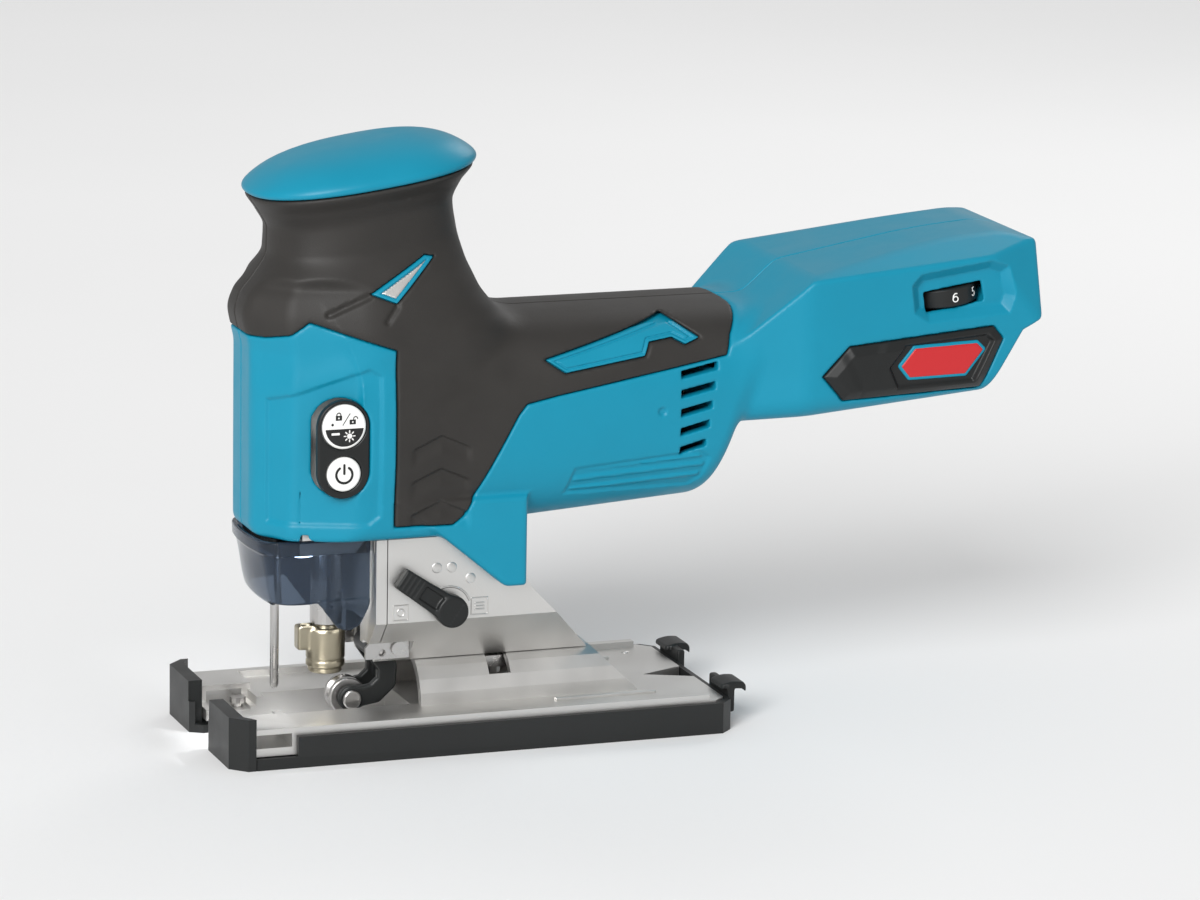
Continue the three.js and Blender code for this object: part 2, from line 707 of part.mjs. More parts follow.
// --- motor
function rotor() {
  return turned([
    [0, gearFront - 1], [pinionBore - gap, gearFront - 1], [pinionBore - gap, gearFront + gearWidth + 0.5],
    [shaftRadius, gearFront + gearWidth + 0.5], [shaftRadius, statorFront + 2], [rotorRadius, statorFront + 2],
    [rotorRadius, statorRear - 2], [shaftRadius, statorRear - 2], [shaftRadius, rearBearingFront + bearingWidth],
    [0, rearBearingFront + bearingWidth],
  ], pointingX(0, motorZ));
}
function stator() {
  const slots = Array.from({ length: 6 }, (_, i) => {
    const angle = (i + 0.5) * (Math.PI / 3);
    const middle = (statorRadius + rotorRadius) / 2 - 1;
    const [y, z] = [middle * Math.cos(angle), motorZ + middle * Math.sin(angle)];
    return cylinderX(y, z, 3.4, statorFront - 1, statorRear + 1);
  });
  const bore = cylinderX(0, motorZ, rotorRadius + 0.7, statorFront - 1, statorRear + 1);
  return cut(cylinderX(0, motorZ, statorRadius, statorFront, statorRear), bore, ...slots);
}
function fan() {
  const hub = cylinderX(0, motorZ, 7, fanFront, fanRear);
  const disc = cylinderX(0, motorZ, fanRadius, fanFront, fanFront + 1.4);
  const blades = Array.from({ length: 11 }, (_, i) => {
    const blade = new THREE.BoxGeometry(fanRear - fanFront - 1, 1.2, fanRadius - 6.5);
    blade.translate((fanFront + fanRear + 1) / 2, 0, (fanRadius + 6) / 2 - 0.2);
    return solid(blade.rotateX((i * 2 * Math.PI) / 11).translate(0, 0, motorZ));
  });
  return cut(union(hub, disc, ...blades), cylinderX(0, motorZ, shaftRadius + gap, fanFront - 1, fanRear + 1));
}
function bearing(z, x0, bore) {
  const x1 = x0 + bearingWidth;
  return cut(cylinderX(0, z, bearingRadius, x0, x1), cylinderX(0, z, bore + gap, x0 - 1, x1 + 1));
}
function pinion() {
  const teeth = moved(gearOutline(pinionTeeth, -Math.PI / 2), 0, motorZ);
  const bare = along(outline(teeth), gearFront, gearFront + gearWidth);
  return cut(bare, cylinderX(0, motorZ, pinionBore, gearFront - 1, gearFront + gearWidth + 1));
}
add("stator", stator(), copper, 0.5, 0.6);
add("rotor", rotor(), steel, 0.35, 1);
add("fan", fan(), black, 0.6);
add("pinion", pinion(), steel, 0.3, 1);
add("motor_bearing_front", bearing(motorZ, frontBearingFront, shaftRadius), steel, 0.3, 1);
add("motor_bearing_rear", bearing(motorZ, rearBearingFront, shaftRadius), steel, 0.3, 1);
add("gear_bearing", bearing(gearZ, gearBearingFront, gearShaftRadius), steel, 0.3, 1);

// --- crank gear and plunger
const throwRadius = stroke / 2;
function crankGear() {
  const teeth = moved(gearOutline(gearTeeth, Math.PI / 2 + Math.PI / gearTeeth), 0, gearZ);
  const blank = along(outline(teeth), gearFront, gearFront + gearWidth);
  const shaft = cylinderX(0, gearZ, gearShaftRadius, gearFront + 1, gearBearingFront + bearingWidth);
  const pin = cylinderX(0, gearZ - throwRadius, pinRadius, yokeRear + 0.5, gearFront + 1);
  const holes = [30, 150].map((degrees) => {
    const angle = THREE.MathUtils.degToRad(degrees);
    return cylinderX(9.6 * Math.cos(angle), gearZ + 9.6 * Math.sin(angle), 2.6, gearFront - 1, -10);
  });
  return cut(union(blank, shaft, pin), ...holes);
}
add("crank_gear", crankGear(), steel, 0.35, 1);

function plunger() {
  const yokeZ = gearZ - throwRadius;
  const rod = turned([
    [0, spigotBottom], [spigotRadius, spigotBottom], [spigotRadius, rodBottom], [rodRadius, rodBottom],
    [rodRadius, upperBushTop + 1], [0, upperBushTop + 1],
  ], standing(bladeX, 0));
  const yoke = box(bladeX, yokeRear, -yokeHalf, yokeHalf, yokeZ - yokeHeight / 2, yokeZ + yokeHeight / 2);
  const slotHalfHeight = pinRadius + gap;
  const slot = box(yokeFront + 1.5, yokeRear + 1, -throwRadius - slotHalfHeight, throwRadius + slotHalfHeight,
    yokeZ - slotHalfHeight, yokeZ + slotHalfHeight);
  return cut(union(rod, yoke), slot);
}
add("plunger", plunger(), steel, 0.25, 1);

function bush(bottom, top) {
  const bore = cylinderZ(bladeX, 0, rodRadius + gap, bottom - 1, top + 1);
  return cut(cylinderZ(bladeX, 0, bushRadius, bottom, top), bore);
}
add("lower_bush", bush(lowerBushBottom, lowerBushTop), "#a08850", 0.4, 1);
add("upper_bush", bush(upperBushBottom, upperBushTop), "#a08850", 0.4, 1);

// --- blade clamp
function clampBody() {
  const socket = cylinderZ(bladeX, 0, spigotRadius + gap, spigotBottom - gap, 60);
  const slot = box(bladeX - 3, bladeX + 6, -0.8, 0.8, 10, spigotBottom - 2.5);
  return cut(cylinderZ(bladeX, 0, clampRadius, clampBottom + 0.6, clampTop), socket, slot);
}
function clampSleeve() {
  const ring = cylinderZ(bladeX, 0, sleeveRadius, clampBottom, 31.5);
  const tab = box(bladeX - 9.8, bladeX - 4.6, -2.6, 2.6, 29, 35.4);
  return cut(union(ring, tab), cylinderZ(bladeX, 0, clampRadius + gap, 10, 40));
}
add("clamp_body", clampBody(), brass, 0.35, 1);
add("clamp_sleeve", clampSleeve(), brass, 0.35, 1);

// --- roller and its fork
function rollerFork() {
  const reach = [rollerAxis.x - forkPivot.x, rollerAxis.z - forkPivot.z];
  const length = Math.hypot(...reach);
  const side = [(-reach[1] / length) * 3.6, (reach[0] / length) * 3.6];
  const arm = outline([
    [forkPivot.x + side[0], forkPivot.z + side[1]], [rollerAxis.x + side[0], rollerAxis.z + side[1]],
    [rollerAxis.x - side[0], rollerAxis.z - side[1]], [forkPivot.x - side[0], forkPivot.z - side[1]],
  ]);
  const solidArm = union(
    across(arm, -forkHalf, forkHalf),
    cylinderY(forkPivot.x, forkPivot.z, 4.2, -forkHalf, forkHalf),
    cylinderY(rollerAxis.x, rollerAxis.z, 4.2, -forkHalf, forkHalf),
  );
  const inside = rollerHalf + 0.5;
  return cut(
    solidArm,
    cylinderY(rollerAxis.x, rollerAxis.z, rollerRadius + 1, -inside, inside),
    cylinderY(rollerAxis.x, rollerAxis.z, rollerPinRadius + gap, -20, 20),
    cylinderY(forkPivot.x, forkPivot.z, forkPinRadius + gap, -20, 20),
    box(-60, rollerAxis.x + 2, -inside, inside, 5, 22),
  );
}
const rollerHalf = 3.6;
const rollerPinRadius = 1.5;
function roller() {
  const wheel = turned([
    [rollerPinRadius + gap, -rollerHalf], [rollerRadius, -rollerHalf], [rollerRadius, -0.9], [rollerRadius - 1.4, -0.8],
    [rollerRadius - 1.4, 0.8], [rollerRadius, 0.9], [rollerRadius, rollerHalf], [rollerPinRadius + gap, rollerHalf],
    [rollerPinRadius + gap, -rollerHalf],
  ], pointingRight(rollerAxis.x, rollerAxis.z));
  return wheel;
}
function rollerPin() {
  const end = forkHalf + 0.3;
  return turned([
    [0, -end - 1.4], [2.5, -end - 1.4], [2.5, -end], [rollerPinRadius, -end], [rollerPinRadius, end], [2.5, end],
    [2.5, end + 1.4], [0, end + 1.4],
  ], pointingRight(rollerAxis.x, rollerAxis.z));
}
add("roller_fork", rollerFork(), black, 0.5);
add("roller", roller(), steel, 0.3, 1);
add("roller_pin", rollerPin(), steel, 0.3, 1);
const forkPinHalf = plateHalf - gap;
add("fork_pin", cylinderY(forkPivot.x, forkPivot.z, forkPinRadius, -forkPinHalf, forkPinHalf), steel, 0.3, 1);

function clipScrewHoles() {
  return union(...[-1, 1].map((side) => {
    const hole = cylinderY(clipScrew.x, clipScrew.z, clipScrew.radius + gap, clipScrew.end, 30);
    return side > 0 ? hole : mirrorLeftToRight(hole);
  }));
}
function forkPlate() {
  const inner = plateHalf + gap;
  const edge = [[-32, 25.6], [-17.6, 25.6], [-17.6, 31.4], [-30, 31.4], [-32, 29.4]];
  const sheet = across(outline(edge), inner, inner + plateThick);
  return cut(sheet, cylinderY(clipScrew.x, clipScrew.z, clipScrew.radius + gap, 0, 30),
    cylinderY(forkPivot.x, forkPivot.z, 1.2, 0, 30));
}
function clipScrewBody() {
  const seat = plateHalf + plateThick + 2 * gap;
  return turned([
    [0, clipScrew.end + gap], [clipScrew.radius, clipScrew.end + gap], [clipScrew.radius, seat], [2.4, seat],
    [2.4, seat + 1.2], [0, seat + 1.2],
  ], pointingRight(clipScrew.x, clipScrew.z));
}
add("fork_plate_left", mirrorLeftToRight(forkPlate()), silver, 0.4, 1);
add("fork_plate_right", forkPlate(), silver, 0.4, 1);
add("plate_screw_left", mirrorLeftToRight(clipScrewBody()), steel, 0.35, 1);
add("plate_screw_right", clipScrewBody(), steel, 0.35, 1);

// --- orbit selector
function orbitLever() {
  const tip = [leverAxis.x + leverReach * Math.cos(leverAngle), leverAxis.z + leverReach * Math.sin(leverAngle)];
  const normal = [-Math.sin(leverAngle) * 2.6, Math.cos(leverAngle) * 2.6];
  const bar = outline([
    [leverAxis.x + normal[0], leverAxis.z + normal[1]], [tip[0] + normal[0], tip[1] + normal[1]],
    [tip[0] - normal[0], tip[1] - normal[1]], [leverAxis.x - normal[0], leverAxis.z - normal[1]],
  ]);
  const front = -caseSkirtHalf - gap;
  return union(
    across(bar, front - 3.6, front),
    cylinderY(leverAxis.x, leverAxis.z, 4, front - 3.6, front),
    cylinderY(leverAxis.x, leverAxis.z, orbitShaftRadius, front - 1, orbitShaftEnd),
  );
}
add("orbit_lever", orbitLever(), black, 0.5);
add("gear_housing", gearHousing(), silver, 0.45, 1);
add("gear_cover", gearCover(), silver, 0.45, 1);

// --- visor, wire guard and lamp
function visor() {
  // The hollow runs past the shell's upper and lower edges.
  const shellOutline = (inset) => {
    const past = inset > 0 ? 5 : 0;
    return outline([
      [-69.4 + inset, visorTop + past], [-65.8 + inset, 47.4], [-63.3 + inset, visorBottom - past],
      [-33, visorBottom - past], [-33, visorTop + past],
    ]);
  };
  const inner = visorHalf;
  const blank = across(shellOutline(0), -visorHalf - visorWall, visorHalf + visorWall);
  const hollow = across(shellOutline(visorWall), -inner, inner);
  const open = box(-60, -20, -inner, inner, 20, 90);
  const ears = union(
    box(-44.5, -33, earHalf, earHalf + visorWall, earBottom, visorBottom + visorWall),
    box(-44.5, -33, earHalf, visorHalf + 1, visorBottom, visorBottom + visorWall),
  );
  return union(cut(blank, hollow, open), ears, mirrorLeftToRight(ears));
}
add("visor", visor(), "#44505a", 0.1);
add("wire_guard", turned([
  [0, wireBottom], [wireRadius * 0.7, wireBottom + 0.4], [wireRadius, wireBottom + 1.4],
  [wireRadius, wireTop], [0, wireTop],
], standing(wireX, 0)), steel, 0.3, 1);
add("lamp_lens", cylinderZ(lens.x, lens.y, lens.radius, lens.bottom, lens.top), "#f2f0e2", 0.2);

// --- shoe
const halfLength = shoeLength / 2;
const halfWidth = shoeWidth / 2;

// The shoe's outline from above, shrunk on all sides.
function shoeOutline(inset) {
  const l = halfLength - inset;
  const w = halfWidth - inset;
  return outline([
    [-l, -w + 8], [-l + 8, -w], [l - 4, -w], [l, -w + 4], [l, w - 4], [l - 4, w], [-l + 8, w], [-l, w - 8],
  ]);
}
function bladeRoom() {
  const chamfer = outline([
    [-halfLength - 1, -slotHalf - 3], [-halfLength - 1, slotHalf + 3], [-halfLength + 4, slotHalf],
    [-halfLength + 4, -slotHalf],
  ]);
  return union(
    box(-halfLength, wellFront + 1, -slotHalf, slotHalf, -1, 30),
    box(wellFront, wellRear, -wellHalf, wellHalf, -1, 30),
    upwards(chamfer, -1, 30),
  );
}

function soleCover() {
  const tray = cut(upwards(shoeOutline(0), 0, soleWallTop), upwards(shoeOutline(soleWall), soleFloor, 30));
  const back = -halfLength + bumperDepth;
  const bumper = upwards(outline([
    [-halfLength, bumperInner], [-halfLength, halfWidth - bumperChamfer], [-halfLength + bumperChamfer, halfWidth],
    [back + bumperWrap, halfWidth], [back, halfWidth - bumperDepth], [back, bumperInner],
  ]), 0, bumperTop);
  const lowFront = box(-halfLength + bumperDepth, blockRear - 0.5, -60, 60, 3.6, 40);
  const withBumpers = union(tray.subtract(lowFront), bumper, mirrorLeftToRight(bumper));
  return cut(withBumpers, bladeRoom());
}
add("sole_cover", soleCover(), black, 0.6);

const under = soleFloor + gap;
function basePlate() {
  const edge = soleWall + gap;
  const rear = upwards(shoeOutline(edge), under, plateTop).intersect(box(blockRear, 100, -60, 60, 0, 40));
  const rim = (side) => {
    const strip = box(blockRear, halfLength - 8, halfWidth - edge - rimWidth, halfWidth - edge, plateTop - 1, rimTop);
    return side > 0 ? strip : mirrorLeftToRight(strip);
  };
  const front = -halfLength + bumperDepth + 1.5 * gap;
  const block = box(front, blockRear + 1, blockInner, halfWidth - edge, 3.9, rimTop);
  const bridge = box(front, blockRear + 1, -blockInner - 1, blockInner + 1, 3.9, 7.5);
  const window = box(-75.2, -63.4, -60, 60, 6.5, 30).intersect(box(-75.2, -63.4, -60, 60, 6.5, 10.8));
  const arch = cut(
    union(cylinderX(0, tiltZ, archRadius, archFront, 60), box(archFront, 60, -archRadius, archRadius, 8, tiltZ)),
    cylinderX(0, tiltZ, archRadius - archWall, archFront - 1, 61),
    box(archFront - 1, 61, -archRadius + archWall, archRadius - archWall, 0, tiltZ),
    across(outline([[41.5, 30], [41.5, 26.8], [58, 10.4], [70, 10.4], [70, 30]]), -30, 30),
    box(boltX - boltRadius - 0.6, boltX + boltRadius + 0.6, -14.6, 14.6, 17.3, 40),
  ).intersect(box(-60, 100, -60, 60, 8, 60));
  const nose = outline([
    [-halfLength - 1, 0], [front, 0], [front, halfWidth - bumperDepth - gap], [front + bumperWrap, halfWidth + gap],
    [front + bumperWrap, halfWidth + 1], [-halfLength - 1, halfWidth + 1],
  ]);
  const bumperRoom = upwards(nose, 0, 40);
  const rearNotch = outline([[66, 0], [halfLength + 1, -8], [halfLength + 1, 8]]);
  return cut(
    union(rear, rim(-1), rim(1), block, mirrorLeftToRight(block), bridge, arch),
    bumperRoom,
    mirrorLeftToRight(bumperRoom),
    window,
    bladeRoom(),
    box(tiltPlateFront - 1.5, tiltPlateRear + 1.5, -12, 12, 0, 12), // room for the tilt plate and its bolt
    upwards(rearNotch, soleFloor, rimTop + 1),
    ...[-1, 1].map((side) => cylinderZ(guideScrew.x, side * guideScrew.y, 1.5 + gap, 4.6, 30)),
  );
}
const guideScrew = { x: -66, y: 14.4 };
add("base_plate", basePlate(), "#c6c7c4", 0.4, 1);

function guideScrewBody(side) {
  const profile = [[0, 5], [1.5, 5], [1.5, 7.8], [2.65, 7.8], [2.65, 9.6], [0, 9.6]];
  return turned(profile, standing(guideScrew.x, side * guideScrew.y));
}
add("guide_screw_left", guideScrewBody(-1), steel, 0.35, 1);
add("guide_screw_right", guideScrewBody(1), steel, 0.35, 1);

function tiltPlate() {
  const outside = archRadius - archWall - gap;
  const reach = 6.5;
  const ring = cut(
    cylinderX(0, tiltZ, outside, tiltPlateFront, tiltPlateRear),
    cylinderX(0, tiltZ, outside - 3.2, tiltPlateFront - 1, tiltPlateRear + 1),
  );
  const plate = ring.intersect(box(-20, 60, -reach, reach, 16, 40));
  return cut(plate, cylinderZ(boltX, 0, boltRadius + gap, 0, 40));
}
add("tilt_plate", tiltPlate(), steel, 0.4, 1);
const boltSeat = tiltZ + Math.sqrt((archRadius - archWall - gap - 3.2) ** 2 - 4.8 ** 2) - gap;
add("base_bolt", turned([
  [0, boltSeat - 3.5], [4.8, boltSeat - 3.5], [4.8, boltSeat], [boltRadius, boltSeat],
  [boltRadius, boltTop], [0, boltTop],
], standing(boltX, 0)), steel, 0.35, 1);

// --- electrics and screws
add("controller_board", box(101, 146, -25, 25, 112.5, 114.1), "#2f6b45", 0.6);
const terminalPlaces = [-7, 7];
const terminalSlots = terminalPlaces.map((y) => inBay(2, 22, y - 0.9, y + 0.9, -9.5, 0));
add("terminal_block", cut(inBay(3, 21, -13, 13, -bay.depth + gap, -4), ...terminalSlots), black, 0.6);
terminalPlaces.forEach((y, i) => {
  add(`terminal_${i + 1}`, inBay(5, 19, y - 0.5, y + 0.5, -9.2, -4.8), brass, 0.3, 1);
});
screwPlaces.forEach(([x, z, seat, tip], i) => {
  add(`shell_screw_${i + 1}`, turned([
    [0, -tip], [screwRadius, -tip], [screwRadius, seat + gap], [screwHead, seat + gap],
    [screwHead, seat + screwHeadHeight], [0, seat + screwHeadHeight],
  ], pointingRight(x, z)), steel, 0.35, 1);
});

export default root;
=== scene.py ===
"""Cordless barrel-grip jigsaw: its looks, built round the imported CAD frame.

Lengths in the tables are millimetres; MM turns them into the frame's metres. -X is the cutting direction,
+Z is up and -Y is the tool's left side.
"""

import functools
import math

import bmesh
import bpy
import numpy as np
from mathutils import Matrix, Vector


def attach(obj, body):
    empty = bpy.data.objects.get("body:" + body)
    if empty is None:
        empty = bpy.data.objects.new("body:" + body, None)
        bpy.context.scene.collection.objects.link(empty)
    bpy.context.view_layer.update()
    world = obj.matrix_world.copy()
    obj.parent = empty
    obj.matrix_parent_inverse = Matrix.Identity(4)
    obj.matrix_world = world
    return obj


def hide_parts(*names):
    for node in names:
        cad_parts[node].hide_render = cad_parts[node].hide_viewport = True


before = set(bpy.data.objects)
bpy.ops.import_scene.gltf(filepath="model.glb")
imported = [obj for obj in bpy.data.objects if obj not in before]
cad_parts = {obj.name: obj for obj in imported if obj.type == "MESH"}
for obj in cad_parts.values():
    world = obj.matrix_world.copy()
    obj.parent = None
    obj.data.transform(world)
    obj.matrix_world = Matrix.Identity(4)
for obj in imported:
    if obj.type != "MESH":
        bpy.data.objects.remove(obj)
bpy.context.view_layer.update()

MM = 0.001

# ---------------- sizes shared with the frame
STEP = 0.55  # grid step of the housing
FINE = 0.3  # grid step of small castings
MOST_TRIANGLES = 90000  # of one piece
SEAM = 0.14  # half the gap between neighbouring mouldings
SKIN = 1.8  # rubber thickness
WALL = 4.4  # how far behind the outer face the shells end
RIM_TILT = math.tan(math.radians(8))  # of the palm pad
RIM_HEIGHT = 178.5
RIM_CENTRE = -31.5
RIM = {"front": -67.2, "rear": 4.0, "half": 28.2, "power": 2.4}
CASE_HALF = 24  # half the gear case's width
GUARD_X = -58.3
BLADE_X = -41.5
LAMP_PLACE = (-52.5, -11.5, 65)
ROLLER = (-35, 11.8)  # this and the next two are places in side view: x, z
FORK_HINGE = (-26.5, 27.5)
ORBIT_AXLE = (-8.6, 43.5)
ORBIT_REACH = 19.6
ORBIT_LEAN = math.radians(145)
PLATE_TOP = 10.3  # where the scale ribs and dots stand
BUTTONS = {"lock": (105.5, 7.0), "power": (90.5, 5.4)}  # height and radius
BUTTON_X = -45.4
BUTTON_FACE = 31.0
DIAL = {"x": 156.5, "y": -23.8, "z": 136.5, "radius": 11.0, "width": 6.0, "lean": math.radians(8)}


# ---------------- fields on a grid
class Grid:
    """A block of points, with its x, y and z as arrays that broadcast against each other."""

    def __init__(self, low, high, step):
        self.low, self.step = np.array(low, float), step
        counts = [int(math.ceil((b - a) / step)) + 1 for a, b in zip(low, high)]
        axes = [(a + step * np.arange(n)).astype(np.float32) for a, n in zip(low, counts)]
        self.shape = tuple(counts)
        self.x = axes[0].reshape(-1, 1, 1)
        self.y = axes[1].reshape(1, -1, 1)
        self.z = axes[2].reshape(1, 1, -1)


def common(*fields):
    """The part that lies inside every one of the fields."""
    return functools.reduce(np.maximum, fields)


def smooth_max(a, b, k):
    h = np.maximum(k - np.abs(a - b), 0) / k
    return np.maximum(a, b) + h * h * k * 0.25


def smooth_min(a, b, k):
    return -smooth_max(-a, -b, k)


def ramp(t, start, end):
    """0 before start, 1 after end and an even S between them."""
    s = np.clip((t - start) / (end - start), 0, 1)
    return s * s * (3 - 2 * s)


def curve(points, t):
    """A smooth curve through (t, value) points that never overshoots them."""
    ts, vs = np.array(points, float).T
    slopes = np.diff(vs) / np.diff(ts)
    product = slopes[:-1] * slopes[1:]
    inner = np.where(product > 0, 2 * product / (slopes[:-1] + slopes[1:] + 1e-12), 0)
    tangent = np.concatenate([[slopes[0]], inner, [slopes[-1]]])
    t = np.clip(t, ts[0], ts[-1])
    i = np.clip(np.searchsorted(ts, t) - 1, 0, len(ts) - 2)
    width = ts[i + 1] - ts[i]
    s = (t - ts[i]) / width
    h00, h10 = (1 + 2 * s) * (1 - s) ** 2, s * (1 - s) ** 2
    h01, h11 = s * s * (3 - 2 * s), s * s * (s - 1)
    made = h00 * vs[i] + h10 * width * tangent[i] + h01 * vs[i + 1] + h11 * width * tangent[i + 1]
    return made.astype(np.float32)


def polygon(points, u, v):
    """Signed distance in the plane to a closed outline: negative inside."""
    shape = np.broadcast(u, v).shape
    best = np.full(shape, 1e9, np.float32)
    inside = np.zeros(shape, bool)
    for (ax, ay), (bx, by) in zip(points, points[1:] + points[:1]):
        ex, ey = bx - ax, by - ay
        t = np.clip(((u - ax) * ex + (v - ay) * ey) / (ex * ex + ey * ey), 0, 1)
        best = np.minimum(best, np.hypot(u - ax - t * ex, v - ay - t * ey))
        if ay != by:
            crosses = (ay > v) != (by > v)
            inside ^= crosses & (u < ax + (v - ay) * ex / ey)
    return np.where(inside, -best, best)


def stroke(points, u, v):
    """Distance in the plane to an open line of points."""
    best = np.full(np.broadcast(u, v).shape, 1e9, np.float32)
    for (ax, ay), (bx, by) in zip(points, points[1:]):
        ex, ey = bx - ax, by - ay
        t = np.clip(((u - ax) * ex + (v - ay) * ey) / (ex * ex + ey * ey), 0, 1)
        best = np.minimum(best, np.hypot(u - ax - t * ex, v - ay - t * ey))
    return best


def face(u, v, at, normal):
    """Distance past the flat face through a point of the plane, along the face's outward normal."""
    return normal[0] * (u - at[0]) + normal[1] * (v - at[1])


def half_plane(p, q, u, v):
    """Distance past the line from p to q: positive on its left."""
    ex, ey = q[0] - p[0], q[1] - p[1]
    return ((u - p[0]) * -ey + (v - p[1]) * ex) / math.hypot(ex, ey)


def evened(field, step):
    """A field with its values turned into distances near its surface."""
    gx, gy, gz = np.gradient(field, step)
    slope = np.sqrt(gx * gx + gy * gy + gz * gz)
    return field / np.clip(slope, 0.2, 5)


CORNERS = [(i, j, k) for i in (0, 1) for j in (0, 1) for k in (0, 1)]


def net_points(field, cells, grid):
    """One point to a cell: the middle of where the cell's edges cross the surface."""
    offset = np.zeros((len(cells), 3))
    hits = np.zeros(len(cells))
    for corner in CORNERS:
        for axis in (k for k in range(3) if not corner[k]):
            a = cells + corner
            b = a.copy()
            b[:, axis] += 1
            fa, fb = field[tuple(a.T)], field[tuple(b.T)]
            cross = (fa < 0) != (fb < 0)
            t = np.where(cross, fa / np.where(cross, fa - fb, 1), 0)
            offset += np.where(cross[:, None], np.array(corner, float), 0)
            offset[:, axis] += t
            hits += cross
    return grid.low + (cells + offset / hits[:, None]) * grid.step


def net_faces(inside, index, axis):
    """The four-sided faces round the grid's edges along one axis that cross the surface."""
    u, v = (axis + 1) % 3, (axis + 2) % 3
    a, b = [slice(1, None)] * 3, [slice(1, None)] * 3
    a[axis] = slice(0, -1)
    first, second = inside[tuple(a)], inside[tuple(b)]
    starts = np.argwhere(first != second)
    flip = first[tuple(starts.T)]
    base = starts + 1
    base[:, axis] -= 1
    keep = (base[:, u] < index.shape[u]) & (base[:, v] < index.shape[v])
    base, flip = base[keep], flip[keep]
    ring = []
    for du, dv in ((-1, -1), (0, -1), (0, 0), (-1, 0)):
        c = base.copy()
        c[:, u] += du
        c[:, v] += dv
        ring.append(index[tuple(c.T)])
    quad = np.stack(ring, 1)
    quad[~flip] = quad[~flip][:, ::-1]
    return quad


def surface(field, grid):
    """The field's zero surface as points and four-sided faces."""
    field = np.broadcast_to(field, grid.shape)
    inside = field < 0
    n = np.array(field.shape)
    total = np.zeros(n - 1, np.int8)
    for i, j, k in CORNERS:
        total += inside[i : n[0] - 1 + i, j : n[1] - 1 + j, k : n[2] - 1 + k]
    active = (total > 0) & (total < 8)
    index = np.full(n - 1, -1, np.int32)
    index[active] = np.arange(active.sum())
    points = net_points(field, np.argwhere(active), grid)
    return points, np.concatenate([net_faces(inside, index, axis) for axis in range(3)])


# ---------------- meshes and pieces
def link(obj):
    bpy.context.scene.collection.objects.link(obj)
    return obj


def shade_smooth(obj):
    for polygon_face in obj.data.polygons:
        polygon_face.use_smooth = True
    return obj


def mesh_object(name, points, faces):
    """An object from points in millimetres and faces that may have any number of sides."""
    mesh = bpy.data.meshes.new(name)
    mesh.from_pydata([tuple(p) for p in np.asarray(points) * MM], [], [tuple(f) for f in faces])
    mesh.update()
    mesh.validate()
    return shade_smooth(link(bpy.data.objects.new(name, mesh)))


def net_object(name, points, quads):
    """An object from arrays of points in millimetres and of four-sided faces."""
    mesh = bpy.data.meshes.new(name)
    mesh.vertices.add(len(points))
    mesh.vertices.foreach_set("co", (points * MM).astype(np.float32).ravel())
    mesh.loops.add(quads.size)
    mesh.loops.foreach_set("vertex_index", quads.astype(np.int32).ravel())
    mesh.polygons.add(len(quads))
    mesh.polygons.foreach_set("loop_start", (np.arange(len(quads)) * 4).astype(np.int32))
    mesh.polygons.foreach_set("use_smooth", np.ones(len(quads), bool))
    mesh.update(calc_edges=True)
    return link(bpy.data.objects.new(name, mesh))


def apply_modifiers(obj):
    graph = bpy.context.evaluated_depsgraph_get()
    made = bpy.data.meshes.new_from_object(obj.evaluated_get(graph))
    old = obj.data
    obj.modifiers.clear()
    obj.data = made
    bpy.data.meshes.remove(old)


def keep_main_island(obj):
    """Deletes the loose bits of surface that have under 60 points or under a small share of the largest
    piece's points.
    """
    mesh = obj.data
    count = len(mesh.vertices)
    edges = np.empty(len(mesh.edges) * 2, np.int32)
    mesh.edges.foreach_get("vertices", edges)
    edges = edges.reshape(-1, 2)
    label = np.arange(count)
    while True:
        low = np.minimum(label[edges[:, 0]], label[edges[:, 1]])
        new = label.copy()
        np.minimum.at(new, edges[:, 0], low)
        np.minimum.at(new, edges[:, 1], low)
        new = new[new]
        if np.array_equal(new, label):
            break
        label = new
    names, sizes = np.unique(label, return_counts=True)
    small = set(names[sizes < max(60, sizes.max() * 0.004)])
    if not small:
        return
    bm = bmesh.new()
    bm.from_mesh(mesh)
    bm.verts.ensure_lookup_table()
    doomed = [bm.verts[i] for i in np.flatnonzero(np.isin(label, list(small)))]
    bmesh.ops.delete(bm, geom=doomed, context="VERTS")
    bm.to_mesh(mesh)
    bm.free()


def from_field(name, field, grid, mirror=False, most=MOST_TRIANGLES):
    """A piece from a field: inside is negative. mirror puts it on the other side of the middle plane."""
    points, quads = surface(field, grid)
    if mirror:
        points = points * (1, -1, 1)
        quads = quads[:, ::-1]
    obj = net_object(name, points, quads)
    keep_main_island(obj)
    triangles = 2 * len(obj.data.polygons)
    if triangles > most:
        thin = obj.modifiers.new("thin", "DECIMATE")
        thin.ratio = most / triangles
        apply_modifiers(obj)
    return obj


def place(obj, body, slot, material, *nodes):
    """Gives a piece its material, hangs it on the body it rides on and hides the CAD nodes it stands for;
    slot is not used.
    """
    obj.data.materials.clear()
    obj.data.materials.append(material)
    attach(obj, body)
    if nodes:
        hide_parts(*nodes)
    return obj


def mirrored(obj, name):
    """A copy of a piece on the other side of the middle plane."""
    mesh = obj.data.copy()
    mesh.transform(Matrix.Scale(-1, 4, Vector((0, 1, 0))))
    mesh.flip_normals()
    return link(bpy.data.objects.new(name, mesh))


def even_shading(obj):
    """Normals weighted by face area, so that flat faces stay flat."""
    weighted = obj.modifiers.new("even shading", "WEIGHTED_NORMAL")
    weighted.weight = 60
    return obj


def cast(name, field, grid, body, slot, material, *nodes, mirror=False, most=MOST_TRIANGLES):
    """A piece from a field, shaded and placed."""
    return place(even_shading(from_field(name, field, grid, mirror, most)), body, slot, material, *nodes)


